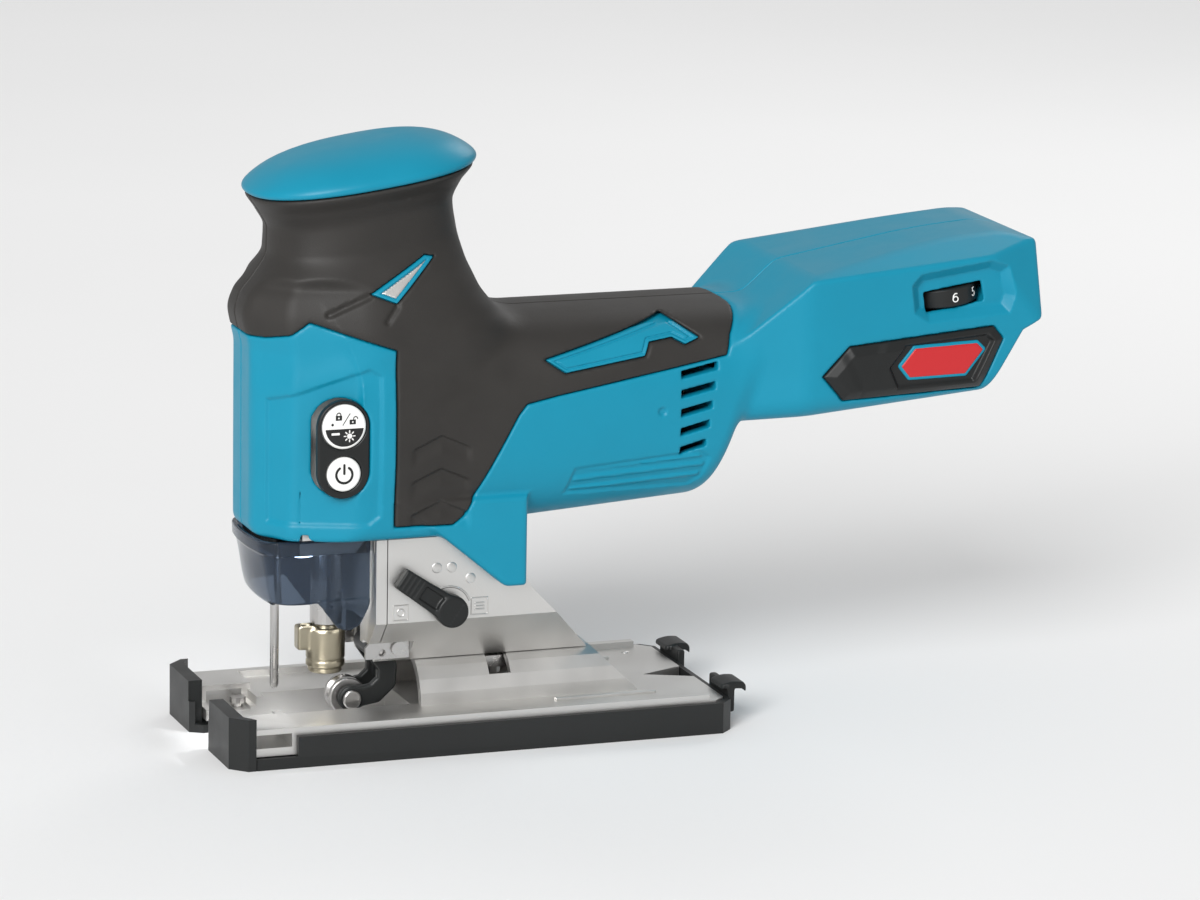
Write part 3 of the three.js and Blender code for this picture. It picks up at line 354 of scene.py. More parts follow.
def bevelled(obj, width, angle=30, segments=3):
    """Rounds a piece's sharp edges; width is in millimetres."""
    shade_smooth(obj)
    bevel = obj.modifiers.new("edges", "BEVEL")
    bevel.width = width * MM
    bevel.segments = segments
    bevel.limit_method = "ANGLE"
    bevel.angle_limit = math.radians(angle)
    bevel.harden_normals = True
    bevel.use_clamp_overlap = True
    return obj


def axes_at(centre, direction):
    """A frame whose third axis points along direction."""
    turn = Vector(direction).to_track_quat("Z", "Y").to_matrix().to_4x4()
    return Matrix.Translation(Vector(centre)) @ turn


def bands(count, sides, closed=False):
    """The faces between neighbouring rings of points; closed also joins the last ring to the first."""
    faces = []
    for ring in range(count if closed else count - 1):
        first, second = ring * sides, (ring + 1) % count * sides
        for i in range(sides):
            j = (i + 1) % sides
            faces.append((first + i, first + j, second + j, second + i))
    return faces


def capped(faces, count, sides):
    """The same faces with a lid on the first and on the last ring."""
    first, last = range(sides), range((count - 1) * sides, count * sides)
    return faces + [tuple(reversed(first)), tuple(last)]


def turned(name, rings, faces, centre, direction, sides):
    where = axes_at(centre, direction)
    points = []
    for radius, along in rings:
        for i in range(sides):
            a = 2 * math.pi * i / sides
            points.append(where @ Vector((radius * math.cos(a), radius * math.sin(a), along)))
    return bevelled(mesh_object(name, points, faces), 0.15, 25, 2)


def lathe(name, profile, centre, direction, sides=64):
    """A turned piece: profile is (radius, distance along the axis), from the axis out and back to it."""
    rings = [p for p in profile if p[0] > 0]
    faces = capped(bands(len(rings), sides), len(rings), sides)
    return turned(name, rings, faces, centre, direction, sides)


def tube(name, profile, centre, direction, sides=64):
    """A turned piece with a bore: profile is a closed loop of (radius, distance along the axis)."""
    return turned(name, profile, bands(len(profile), sides, closed=True), centre, direction, sides)


def block(name, low, high, width=0.4):
    (x0, y0, z0), (x1, y1, z1) = low, high
    points = [(x, y, z) for x in (x0, x1) for y in (y0, y1) for z in (z0, z1)]
    faces = [(0, 1, 3, 2), (4, 6, 7, 5), (0, 4, 5, 1), (2, 3, 7, 6), (0, 2, 6, 4), (1, 5, 7, 3)]
    return bevelled(mesh_object(name, points, faces), width)


def decal(name, ink, half, where, thickness=0.3, step=0.14):
    """A thin raised mark: ink(u, v) is negative where it is; where puts its face in the frame."""
    grid = Grid((-half[0], -half[1], -thickness), (half[0], half[1], thickness), step)
    field = np.maximum(ink(grid.x, grid.y), np.abs(grid.z) - thickness / 2)
    points, quads = surface(np.broadcast_to(field, grid.shape).astype(np.float32), grid)
    where = np.array(where)
    points = points @ where[:3, :3].T + where[:3, 3]
    return net_object(name, points, quads)


def facing_side(sign, x, y, z):
    """A frame on a side of the tool, left for sign 1 and right for -1: v along +z, y to the side and out."""
    return Matrix(((sign, 0, 0, x), (0, 0, -sign, -sign * y), (0, 1, 0, z), (0, 0, 0, 1)))


# ---------------- materials
def noise(tree, vector, scale, detail):
    node = tree.nodes.new("ShaderNodeTexNoise")
    node.inputs["Scale"].default_value = scale
    node.inputs["Detail"].default_value = detail
    tree.links.new(vector, node.inputs["Vector"])
    return node.outputs["Fac"]


def ranged(tree, value, source, target):
    """The value, moved from the source range to the target range."""
    node = tree.nodes.new("ShaderNodeMapRange")
    for key, level in zip(("From Min", "From Max", "To Min", "To Max"), (*source, *target)):
        node.inputs[key].default_value = level
    tree.links.new(value, node.inputs["Value"])
    return node.outputs["Result"]


def mixed(tree, factor, second):
    """A mix of two colours, towards the second one; the first is left to the caller."""
    node = tree.nodes.new("ShaderNodeMix")
    node.data_type = "RGBA"
    node.inputs["B"].default_value = second
    tree.links.new(factor, node.inputs["Factor"])
    return node


def tone(colour, gain, lift=0.0):
    return [min(1, c * gain + lift) for c in colour] + [1]


def finish(name, colour, roughness, metallic=0.0, **look):
    """Procedural. look: mottle, mottle_scale, grain, grain_scale, stretch, bump, depth, wear, inputs."""
    material = bpy.data.materials.new(name)
    material.use_nodes = True
    tree = material.node_tree
    shader = tree.nodes["Principled BSDF"]
    where = tree.nodes.new("ShaderNodeTexCoord").outputs["Object"]
    mapping = tree.nodes.new("ShaderNodeMapping")
    mapping.inputs["Scale"].default_value = look.get("stretch", (1, 1, 1))
    tree.links.new(where, mapping.inputs["Vector"])
    cloud = noise(tree, where, look.get("mottle_scale", 60), 4)
    grain = noise(tree, mapping.outputs["Vector"], look.get("grain_scale", 2500), 2)

    mottle = look.get("mottle", 0.08)
    shade = mixed(tree, cloud, tone(colour, 1 + mottle))
    shade.inputs["A"].default_value = tone(colour, 1 - mottle)
    edges = tree.nodes.new("ShaderNodeNewGeometry").outputs["Pointiness"]
    wear = ranged(tree, edges, (0.52, 0.62), (0, look.get("wear", 0.12)))
    worn = mixed(tree, wear, tone(colour, 1.5, 0.05))
    tree.links.new(shade.outputs["Result"], worn.inputs["A"])
    tree.links.new(worn.outputs["Result"], shader.inputs["Base Color"])

    spread = look.get("grain", 0.06)
    rough = ranged(tree, cloud, (0.3, 0.7), (max(0.02, roughness - spread), roughness + spread))
    tree.links.new(rough, shader.inputs["Roughness"])
    bump = tree.nodes.new("ShaderNodeBump")
    bump.inputs["Strength"].default_value = look.get("bump", 0.2)
    bump.inputs["Distance"].default_value = look.get("depth", 0.00008)
    tree.links.new(grain, bump.inputs["Height"])
    tree.links.new(bump.outputs["Normal"], shader.inputs["Normal"])
    shader.inputs["Metallic"].default_value = metallic
    for key, value in look.get("inputs", {}).items():
        shader.inputs[key].default_value = value
    return material


DULL = {"Specular IOR Level": 0.3}
TEAL = finish("teal plastic", (0.002, 0.225, 0.345), 0.42, mottle=0.06, bump=0.22, wear=0.08, inputs=DULL)
RUBBER = finish("rubber", (0.026, 0.024, 0.022), 0.52, mottle=0.35, mottle_scale=45, grain_scale=3200,
                bump=0.5, depth=0.0001, wear=0.16, inputs=DULL)
BLACK = finish("black plastic", (0.012, 0.013, 0.013), 0.4, mottle=0.15, bump=0.25, wear=0.1, inputs=DULL)
WHITE = finish("white plastic", (0.82, 0.82, 0.8), 0.4, mottle=0.02, bump=0.1, wear=0.0)
RED = finish("red plastic", (0.5, 0.012, 0.016), 0.35, mottle=0.05, bump=0.1)
ALUMINIUM = finish("cast aluminium", (0.70, 0.69, 0.67), 0.42, 1.0, mottle=0.06, grain=0.07, grain_scale=1800,
                   bump=0.28, depth=0.0001, wear=0.1)
BRUSHED = finish("brushed aluminium", (0.66, 0.65, 0.63), 0.34, 1.0, mottle=0.08, grain=0.06, grain_scale=900,
                 stretch=(0.04, 1, 3), bump=0.4, depth=0.00008, wear=0.2)
STEEL = finish("steel", (0.5, 0.49, 0.48), 0.28, 1.0, mottle=0.12, grain=0.08, grain_scale=1500, bump=0.15,
               wear=0.2)
BRASS = finish("plated brass", (0.40, 0.36, 0.27), 0.33, 1.0, mottle=0.15, grain=0.08, bump=0.12, wear=0.2)
BRONZE = finish("bronze", (0.45, 0.30, 0.12), 0.38, 1.0, mottle=0.12, bump=0.2)
COPPER = finish("winding", (0.55, 0.22, 0.08), 0.4, 0.9, mottle=0.2, grain_scale=900, bump=0.6,
                stretch=(0.2, 1, 1))
BOARD = finish("circuit board", (0.02, 0.13, 0.05), 0.45, mottle=0.15, bump=0.2)
SMOKED = finish("smoked plastic", (0.10, 0.135, 0.19), 0.08, mottle=0.08, grain=0.03, bump=0.03, wear=0.0,
                inputs={"Transmission Weight": 0.85, "IOR": 1.3})
LAMP = finish("lit lens", (0.95, 0.97, 1.0), 0.2, bump=0.02,
              inputs={"Emission Color": (0.93, 0.96, 1, 1), "Emission Strength": 60.0})
CARD = finish("floor", (0.86, 0.86, 0.86), 0.75, mottle=0.01, mottle_scale=3, bump=0.03, wear=0.0)

# ---------------- the housing's outer form
HEAD_SIDE = 31
HEAD = [  # height, front, rear, half width, power, lean of the ring
    (60, -67.5, -8, 29.0, 5.0, 0),
    (72, -69.5, -6, 30.5, 5.4, 0),
    (100, -69.5, 0, 31.0, 5.6, 0),
    (126, -69.5, 4, 31.0, 5.4, 0),
    (132, -70.6, 5.6, 31.0, 4.8, 0.04),
    (138, -71.6, 6, 30.4, 3.9, 0.12),
    (144, -70.2, 4.0, 28.6, 3.3, 0.25),
    (151, -65.6, 0.8, 25.2, 2.8, 0.5),
    (159, -61.6, -1.4, 22.2, 2.5, 0.8),
    (167, -61.4, -2.4, 22, 2.4, 1),
    (173, -64, 0, 24.4, 2.4, 1),
    (RIM_HEIGHT, RIM["front"], RIM["rear"], RIM["half"], RIM["power"], 1),
    (186, -69, 5.5, 29.6, 2.4, 1),
]


def squircle(u, v, power):
    return (np.abs(u) ** power + np.abs(v) ** power) ** (1 / power)


def head_column(i):
    return [(row[0], row[i]) for row in HEAD]


HEAD_CUTS = [  # the flats at the front corners, in shares of the head's length and width, and their softness
    (-0.833, 0.554, 1.012, 1.4),
    (-0.368, 0.930, 0.956, 1.2),
]


def head_form(g):
    lean = curve(head_column(5), g.z)
    level = g.z - RIM_TILT * lean * (g.x - RIM_CENTRE)
    front, rear, half, power = (curve(head_column(i), level) for i in (1, 2, 3, 4))
    length = (rear - front) / 2
    u, v = (g.x - (front + rear) / 2) / length, np.abs(g.y) / half
    form = (squircle(u, v, power) - 1) * 30
    fade = 12 * ramp(g.z, 146, 158)
    for along, across, reach, soft in HEAD_CUTS:
        form = smooth_max(form, (along * u + across * v - reach) * HEAD_SIDE - fade, soft)
    low = 0.6 * (66.5 - g.z)
    chamfer = np.maximum(low + 0.8 * (np.abs(g.y) - 27.5), low + 0.8 * (-g.x - 66.8))
    form = smooth_max(form, chamfer, 1.2)
    form = smooth_max(form, 68 - g.z, 1.6)
    return smooth_max(form, level - RIM_HEIGHT, 1.2)


BARREL = {"half": 32, "top": 135, "bottom": 69, "power": 3.1}


def barrel_form(g):
    bottom = BARREL["bottom"] + 0.07 * np.maximum(g.x - 18, 0)
    middle, half = (BARREL["top"] + bottom) / 2, (BARREL["top"] - bottom) / 2
    wide = BARREL["half"]
    form = (squircle(np.abs(g.y) / wide, (g.z - middle) / half, BARREL["power"]) - 1) * wide
    form = smooth_max(form, face(g.x, g.z, (78, 77), (0.944, -0.328)), 5)
    return np.maximum(form, -40 - g.x)


TAIL_HALF = 36.5
TAIL_END = 187
TAIL_TOP = [  # in side view: a point of each flat, its outward normal and its softness
    ((94.5, 133), (-0.656, 0.755), 1.2),
    ((104, 144.3), (-0.172, 0.985), 1.2),
    ((155, 153.2), (-0.082, 0.997), 1),
    ((177, 155), (0.196, 0.981), 1),
]


def tail_form(g):
    side = np.abs(g.y)
    top = -1e9
    for at, normal, soft in TAIL_TOP:
        top = smooth_max(top, face(g.x, g.z, at, normal), soft)
    shoulder = (g.z - 0.088 * (g.x - 107) - 144.1 + 0.33 * (side - TAIL_HALF)) / 1.057
    top = smooth_max(top, shoulder, 1)
    flank = smooth_max(side - TAIL_HALF, face(g.x, side, (91, 31.5), (-0.316, 0.949)), 1)
    flank = smooth_max(flank, 0.327 * g.x + 0.907 * side + 0.266 * g.z - 127.7, 1)
    under = face(g.z, g.x, (99, 99), (-0.996, 0.087))
    mouth = face(g.x, g.z, (168, 105), (0.857, -0.514))
    notch = np.minimum(mouth, face(g.x, g.z, (180, 125), (0.447, -0.894)))
    form = smooth_max(flank, under, 8)
    form = smooth_max(form, top, 1.2)
    form = smooth_max(form, notch, 1)
    form = smooth_max(form, g.x - TAIL_END, 1.5)
    return np.maximum(form, 82 - g.x)


def tongue_form(g):
    slope = half_plane((-10, 66), (8, 51), g.x, g.z)
    form = smooth_max(smooth_max(-slope, 51 - g.z, 1), g.x - 15, 1.2)
    return smooth_max(np.maximum(form, g.z - 80), np.abs(g.y) - HEAD_SIDE, 1.6)


def body_form(g):
    form = smooth_min(head_form(g), barrel_form(g), 2 + 10 * ramp(g.z, 120, 136))
    form = smooth_min(form, tail_form(g), 3)
    return evened(smooth_min(form, tongue_form(g), 2), g.step)


# ---------------- outlines on the housing, in side view
RUBBER_EDGE = [
    (-90, 131.5), (-66, 131.5), (-60, 133.2), (-54.6, 137.3), (-28.7, 128.5), (-28.7, 72.4), (-9.7, 72.2),
    (-6, 74.5), (11.4, 106.2), (14, 109.3), (24.3, 111.4), (80.9, 121), (83, 127), (88, 134), (88, 150),
    (40, 210), (-90, 210),
]
INLAY = [(20.5, 122.5), (63, 133), (72.5, 126.5), (67.5, 124.8), (63.3, 127), (55.6, 126), (53.6, 122),
         (27, 118.2)]
ACCENT = [(-36, 145.8), (-17, 156.4), (-13.7, 155.8), (-28, 142.7)]
BADGE = [(111, 113.5), (120, 122.8), (169.5, 127), (173, 122.8), (165.7, 107), (118, 105.3)]
BADGE_HOLLOW = [(132.5, 115.5), (138.5, 123), (167, 125.2), (170, 122.6), (163, 109), (136, 108)]
NAME_PLATE = [(137.5, 115.6), (142.2, 121.2), (163.5, 121.9), (165.8, 119.7), (159.7, 112.1), (140.6, 111.8)]
DIAL_HOLLOW = [(144, 145), (168.4, 148.3), (175, 146), (177, 136.6), (175, 130.8), (147, 129), (141.9, 132.3),
               (140.6, 141.3)]
DIAL_WINDOW = [(146, 138.4), (165.8, 141.3), (166.9, 134.8), (147, 131.8)]
PANEL = [(-66, 112.5), (-37, 123.5), (-33, 121), (-33, 76), (-37, 73), (-66, 73)]


def vent(i):
    """The air slot that is i places down."""
    low, right = 114.4 - 6.1 * i, 77.5 - 0.9 * i
    return [(65.3, low), (right, low + 2.4), (right, low + 4.8), (65.3, low + 2.5)]


VENTS = [vent(i) for i in range(5)]
MOTOR_PANEL = [(27, 79), (30, 88), (72, 91.5), (76, 89), (74, 82), (70, 78.8)]
SCREWS = [(-62.6, 80, 12), (-62.6, 125, 12), (46, 77.2, 20), (100, 132, 20)]  # x, z and the heads' seat in y
BEZEL = {"low": 82.6, "high": 113.7, "radius": 8.4}
BAY = {"x": 168, "z": 105, "depth": 13, "half": 29.5, "length": 27}
GEAR_SKIRT = [(-57, 20), (-57, 70.2), (-30, 73), (-0.4, 73), (12.8, 61.8), (20.6, 48), (46, 20)]
MOTOR_HEIGHT = 105.8


def stadium(u, v, middle, low, high, radius):
    return np.hypot(u - middle, v - np.clip(v, low + radius, high - radius)) - radius


def head_panel(x, z):
    corner = half_plane((-62.8, 114.6), (-31.4, 125.9), x, z)
    fold = 0.5 * ramp(corner, 0, 8) * (polygon(RUBBER_EDGE, x, z) > 0) * (x < -28) * (z > 110)
    return [np.clip(-polygon(PANEL, x, z) * 0.8, 0, 0.9), fold]


def chevron(x, z, height):
    """A grip mark in the rubber: a bent step that fades downwards."""
    side = np.abs(x + 14)
    below = height - 0.45 * side - z
    return 0.9 * ramp(below, 0, 0.7) * (1 - ramp(below, 1.5, 7)) * (1 - ramp(side, 8, 10.5))


def motor_rib(x, z, height):
    rib = np.abs(half_plane((30, height - 0.6), (72, height + 1.8), x, z)) - 0.5
    return -0.7 * (1 - ramp(rib, -0.2, 0.5)) * ramp(-polygon(MOTOR_PANEL, x, z), 1, 2)


def shallow_details(g):
    """How far the side faces lie below the plain form, in side view."""
    x, z = g.x, g.z
    hollows = head_panel(x, z)
    hollows += [chevron(x, z, height) for height in (101.5, 91, 80.5)]
    hollows += [np.clip(-polygon(MOTOR_PANEL, x, z) * 0.8, 0, 0.7)]
    hollows += [motor_rib(x, z, height) for height in (81.2, 84.6, 87.8)]
    hollows += [0.7 * (1 - ramp(np.hypot(x - 58.9, z - 104.4), 1, 1.7))]
    for line in ([(-49, 139.6), (-36.5, 145.2)], [(-31.5, 137.5), (-28, 142)]):
        hollows += [0.8 * (1 - ramp(stroke(line, x, z), 0.2, 1.4))]
    hollows += [0.5 * (1 - ramp(np.abs(polygon(INLAY, x, z) - 0.2), 0.1, 0.7))]
    return sum(hollows) * ramp(np.abs(g.y), 9, 13)


def in_bay(g):
    """The battery bay's own axes: up its slope and out of its mouth."""
    up = 0.5 * (g.x - BAY["x"]) + 0.866 * (g.z - BAY["z"])
    out = 0.866 * (g.x - BAY["x"]) - 0.5 * (g.z - BAY["z"])
    return up, out


def around(value, low, high):
    return np.maximum(low - value, value - high)


def dial_axes(g):
    """Distance from the dial's axis and distance along it, in the left half's mirror image."""
    dx, dy, dz = g.x - DIAL["x"], g.y + DIAL["y"], g.z - DIAL["z"]
    along = -math.sin(DIAL["lean"]) * dx + math.cos(DIAL["lean"]) * dz
    return np.sqrt(np.maximum(dx * dx + dy * dy + dz * dz - along * along, 0)), along


def with_ribs(shell, g, outer):
    """The shell with the ribs round the motor and the screws' bosses."""
    ring = np.hypot(g.y, g.z - MOTOR_HEIGHT)
    for middle, bore in ((25.5, 24.5), (54.5, 24.5), (76, 8.3)):
        rib = np.maximum(np.abs(g.x - middle) - 1.5, outer + 3)
        shell = np.minimum(shell, common(rib, bore - ring, around(g.z, 60, 140)))
    for x, z, _seat in SCREWS:
        boss = np.hypot(g.x - x, g.z - z) - 3.8
        shell = np.minimum(shell, np.maximum(boss, outer + 1.5))
    return shell


def with_bay(shell, g, outer):
    """The shell with the battery bay cut into its tail, and a rail in it."""
    up, out = in_bay(g)
    length, half, depth = BAY["length"], BAY["half"], BAY["depth"]
    lining = common(up - length - 2.6, g.y - half - 2.6, -depth - 2.6 - out)
    shell = np.minimum(shell, np.maximum(lining, outer))
    room = common(up - length, g.y - half, -depth - out)
    shell = smooth_max(shell, -room, 0.8)
    rail = common(around(up, -2, 28), around(g.y, 26.5, 30.5), around(out, -8, -5))
    return np.minimum(shell, smooth_max(rail, outer + 0.4, 0.5))


def with_openings(shell, g, outer):
    """The shell cut out for the gear case, the switch panel, the badge and the air slots."""
    shell = smooth_max(shell, -np.maximum(polygon(GEAR_SKIRT, g.x, g.z), g.y - (CASE_HALF + 0.3)), 0.5)
    shell = np.maximum(shell, -common(around(g.x, -57, -0.6), g.y - 22.6, g.z - 84))
    hole = stadium(g.x, g.z, BUTTON_X, BEZEL["low"], BEZEL["high"], BEZEL["radius"] + SEAM)
    shell = smooth_max(shell, -np.maximum(hole, 20 - g.y), 0.5)
    pocket = np.maximum(polygon(BADGE, g.x, g.z) - SEAM, -(outer + 1.35))
    shell = smooth_max(shell, -pocket, 0.5)
    for slot in VENTS:
        shell = smooth_max(shell, -np.maximum(polygon(slot, g.x, g.z), 20 - g.y), 0.7)
    return shell


def plain_shell(g, outer, details):
    """Half a housing, on the +y side, with everything that both halves share."""
    rubber = polygon(RUBBER_EDGE, g.x, g.z)
    bare = smooth_max(outer + details, SEAM - rubber, 0.8)
    shell = np.minimum(bare, outer + SKIN + 0.15)
    shell = with_ribs(np.maximum(shell, -(outer + WALL)), g, outer)
    shell = with_openings(with_bay(shell, g, outer), g, outer)
    return np.maximum(shell, SEAM - g.y)


def left_features(g, shell):
    shell = smooth_max(shell, -np.maximum(polygon(DIAL_WINDOW, g.x, g.z), 20 - g.y), 0.6)
    radius, along = dial_axes(g)
    clearance = 0.4
    wheel = np.maximum(radius - (DIAL["radius"] + clearance), np.abs(along) - (DIAL["width"] / 2 + clearance))
    shell = np.maximum(shell, -wheel)
    for x, z, seat in SCREWS:
        shell = np.maximum(shell, -np.maximum(np.hypot(g.x - x, g.z - z) - 1.8, g.y - 0.8 * seat - 2))
    return shell


def right_features(g, shell):
    for x, z, seat in SCREWS:
        gone = np.hypot(g.x - x, g.z - z)
        well = np.minimum(gone - 1.8, np.maximum(gone - 3.4, seat - g.y))
        shell = smooth_max(shell, -well, 0.5)
    return shell


def skin_piece(g, outer, edge, depth, raised=0.0):
    """A thin piece that follows the form inside an outline on the side face."""
    piece = smooth_max(outer - raised, edge, 0.6)
    return common(piece, -(outer + depth), 10 - g.y)


def pair(name, field, grid, material, slot, node=""):
    """Places a +y piece on the right and its mirror image on the left; node is the CAD name they share."""
    right = from_field(name, field, grid)
    left = mirrored(right, f"{name}_left")
    right.name = f"{name}_right"
    for piece, side in ((left, "left"), (right, "right")):
        place(even_shading(piece), "housing", slot, material, *([f"{node}_{side}"] if node else []))


def build_housing():
    g = Grid((-76, -0.6, 48), (190, 39, 196), STEP)
    outer = body_form(g)
    details = shallow_details(g)
    shell = plain_shell(g, outer, details)
    hollow = np.clip(-polygon(DIAL_HOLLOW, g.x, g.z) * 0.95, 0, 2.9) * ramp(g.y, 20, 24)
    left = left_features(g, np.maximum(shell, np.where(hollow > 0, outer + hollow, -9)))
    right = right_features(g, shell)
    cast("left_shell", left, g, "housing", "teal_plastic", TEAL, "left_shell", mirror=True)
    cast("right_shell", right, g, "housing", "teal_plastic", TEAL, "right_shell")

    rubber, inlay, accent = (polygon(edge, g.x, g.z) for edge in (RUBBER_EDGE, INLAY, ACCENT))
    grip = smooth_max(outer + details, rubber + SEAM, 0.8)
    for window in (inlay, accent):
        grip = smooth_max(grip, -(window - SEAM), 0.5)
    grip = common(grip, -(outer + SKIN), SEAM - g.y)
    pair("grip", grip, g, RUBBER, "rubber", "grip")


def build_inlays():
    """The hook-shaped inserts in the rubber."""
    g = Grid((16, 22, 114), (76, 34, 137), FINE)
    edge = polygon(INLAY, g.x, g.z)
    groove = 0.5 * (1 - ramp(np.abs(edge + 1.3), 0.1, 0.5))
    inlay = skin_piece(g, body_form(g) + groove, edge + SEAM, SKIN - 0.2)
    pair("inlay", inlay, g, TEAL, "teal_plastic", "inlay")


def build_accents():
    """The arrow-shaped inserts near the top, each with a bright core."""
    g = Grid((-40, 12, 139), (-10, 32, 160), FINE)
    outer = body_form(g)
    edge = polygon(ACCENT, g.x, g.z)
    hollow = 0.5 * ramp(-edge, 1.0, 1.3)
    accent = skin_piece(g, outer + hollow, edge + SEAM, SKIN - 0.2)
    pair("accent", accent, g, TEAL, "teal_plastic", "accent")
    shape = np.maximum(edge + 1.25, g.x + 2.0 * (g.z - 155.5) + 17)
    core = skin_piece(g, outer, shape, 0.55, -0.12)
    pair("accent_core", core, g, ALUMINIUM, "cast_aluminium")


def build_badges():
    """The panels on the tail, with a blank name plate and its rim."""
    g = Grid((109, 30, 103), (175, 39, 129), FINE)
    outer = body_form(g)
    edge = polygon(BADGE, g.x, g.z)
    rise = np.clip(-edge * 0.55, 0, 1.7) - 1.7 * ramp(-polygon(BADGE_HOLLOW, g.x, g.z), 0, 1.6)
    rise = rise - 0.5 * ramp(np.abs(g.x - 124) - 0.5 * (g.z - 114), 5, 1)
    badge = skin_piece(g, outer - rise, edge + SEAM, 1.2)
    pair("badge", badge, g, BLACK, "black_plastic", "badge")
    outline = polygon(NAME_PLATE, g.x, g.z)
    rim = skin_piece(g, outer, outline - 0.9, 0.3, 0.5)
    pair("badge_rim", rim, g, TEAL, "teal_plastic")
    plate = skin_piece(g, outer, outline, 0.2, 0.8)
    pair("badge_plate", plate, g, RED, "black_plastic")


def build_top_cap():
    """The palm pad: rings of a squashed ellipse that shrink towards the crown."""
    rings = [(0.25, 0.955), (0.3, 1.0), (1.0, 1.018), (1.9, 1.022), (2.9, 1.008), (4.6, 0.955), (6.8, 0.86),
             (8.6, 0.74), (9.9, 0.6), (10.8, 0.45), (11.3, 0.28), (11.5, 0.12)]
    sides = 128
    power = 2 / RIM["power"]
    length = (RIM["rear"] - RIM["front"]) / 2
    points = []
    for rise, share in rings:
        middle = (RIM["front"] + RIM["rear"]) / 2 + 7 * (1 - share) ** 1.5
        for i in range(sides):
            a = 2 * math.pi * i / sides
            c, s = math.cos(a), math.sin(a)
            x = middle + math.copysign(abs(c) ** power, c) * length * share
            y = math.copysign(abs(s) ** power, s) * RIM["half"] * share
            points.append((x, y, RIM_HEIGHT + rise + RIM_TILT * (x - RIM_CENTRE)))
    cap = mesh_object("top_cap", points, capped(bands(len(rings), sides), len(rings), sides))
    smooth = cap.modifiers.new("smooth", "SUBSURF")
    smooth.levels = smooth.render_levels = 1
    place(cap, "housing", "teal_plastic", TEAL, "top_cap")


# ---------------- switch panels, dial and marks
def arc_ink(u, v, middle, radius, start, end, half):
    """Ink along an arc from start to end, in degrees."""
    points = []
    for i in range(25):
        a = math.radians(start + (end - start) * i / 24)
        points.append((middle[0] + radius * math.cos(a), middle[1] + radius * math.sin(a)))
    return stroke(points, u, v) - half


def disc_ink(u, v, middle, radius):
    return np.hypot(u - middle[0], v - middle[1]) - radius


def box_ink(u, v, low, high):
    return np.maximum(around(u, low[0], high[0]), around(v, low[1], high[1]))


def line_ink(u, v, points, half):
    return stroke(points, u, v) - half


def power_ink(u, v):
    ring = arc_ink(u, v, (0, -0.1), 2.6, -235, 55, 0.42)
    return np.minimum(ring, stroke([(0, 0.3), (0, 3.0)], u, v) - 0.42)


def padlock_ink(u, v, x, y, opened):
    body = box_ink(u, v, (x - 1.05, y - 0.9), (x + 1.05, y + 0.7))
    keyhole = disc_ink(u, v, (x, y - 0.1), 0.25)
    shift = 0.9 if opened else 0
    shackle = arc_ink(u, v, (x + shift, y + 0.9), 0.65, 0, 180, 0.2)
    return np.minimum(np.maximum(body, -keyhole), shackle)


def lock_black_ink(u, v):
    lower = np.maximum(disc_ink(u, v, (0, 0), 6.2), v + 0.5)
    beam = np.minimum(disc_ink(u, v, (1.6, -2.9), 0.8), box_ink(u, v, (-4.2, -2.4), (-1.6, -1.7)))
    for i in range(8):
        a = math.pi / 4 * i
        ray = [(1.6 + r * math.cos(a), -2.9 + r * math.sin(a)) for r in (1.15, 1.75)]
        beam = np.minimum(beam, stroke(ray, u, v) - 0.16)
    marks = np.minimum(padlock_ink(u, v, -1.9, 3.0, False), padlock_ink(u, v, 2.6, 1.6, True))
    marks = np.minimum(marks, stroke([(-0.6, 0.6), (1.7, 4.2)], u, v) - 0.16)
    marks = np.minimum(marks, disc_ink(u, v, (-3.9, 0.9), 0.45))
    return np.minimum(np.maximum(lower, -beam), marks)


def six_ink(u, v):
    bowl = np.abs(disc_ink(u, v, (0, -0.55), 0.85)) - 0.2
    return np.minimum(bowl, stroke([(-0.85, -0.5), (-0.6, 0.7), (0.05, 1.3), (0.65, 1.2)], u, v) - 0.2)


def five_ink(u, v):
    bowl = arc_ink(u, v, (-0.05, -0.45), 0.8, -150, 105, 0.2)
    return np.minimum(bowl, stroke([(-0.4, 0.3), (-0.3, 1.35), (0.7, 1.35)], u, v) - 0.2)


def four_ink(u, v):
    return stroke([(0.9, -0.55), (-0.85, -0.55), (0.35, 1.35), (0.35, -1.35)], u, v) - 0.2


def three_ink(u, v):
    upper = arc_ink(u, v, (0, 0.65), 0.65, 150, -90, 0.2)
    return np.minimum(upper, arc_ink(u, v, (0, -0.65), 0.7, 90, -150, 0.2))


def two_ink(u, v):
    bowl = arc_ink(u, v, (0, 0.6), 0.75, 165, -40, 0.2)
    return np.minimum(bowl, stroke([(0.57, 0.12), (-0.8, -1.35), (0.85, -1.35)], u, v) - 0.2)


def one_ink(u, v):
    return stroke([(-0.5, 0.85), (0.1, 1.35), (0.1, -1.35)], u, v) - 0.2


def stop_ink(u, v):
    return disc_ink(u, v, (0, 0), 0.5)


DIAL_MARKS = [  # and how far round the dial they are, in degrees
    (six_ink, 0), (five_ink, 42), (four_ink, 84), (three_ink, 126), (two_ink, 168), (one_ink, 210),
    (stop_ink, 270),
]


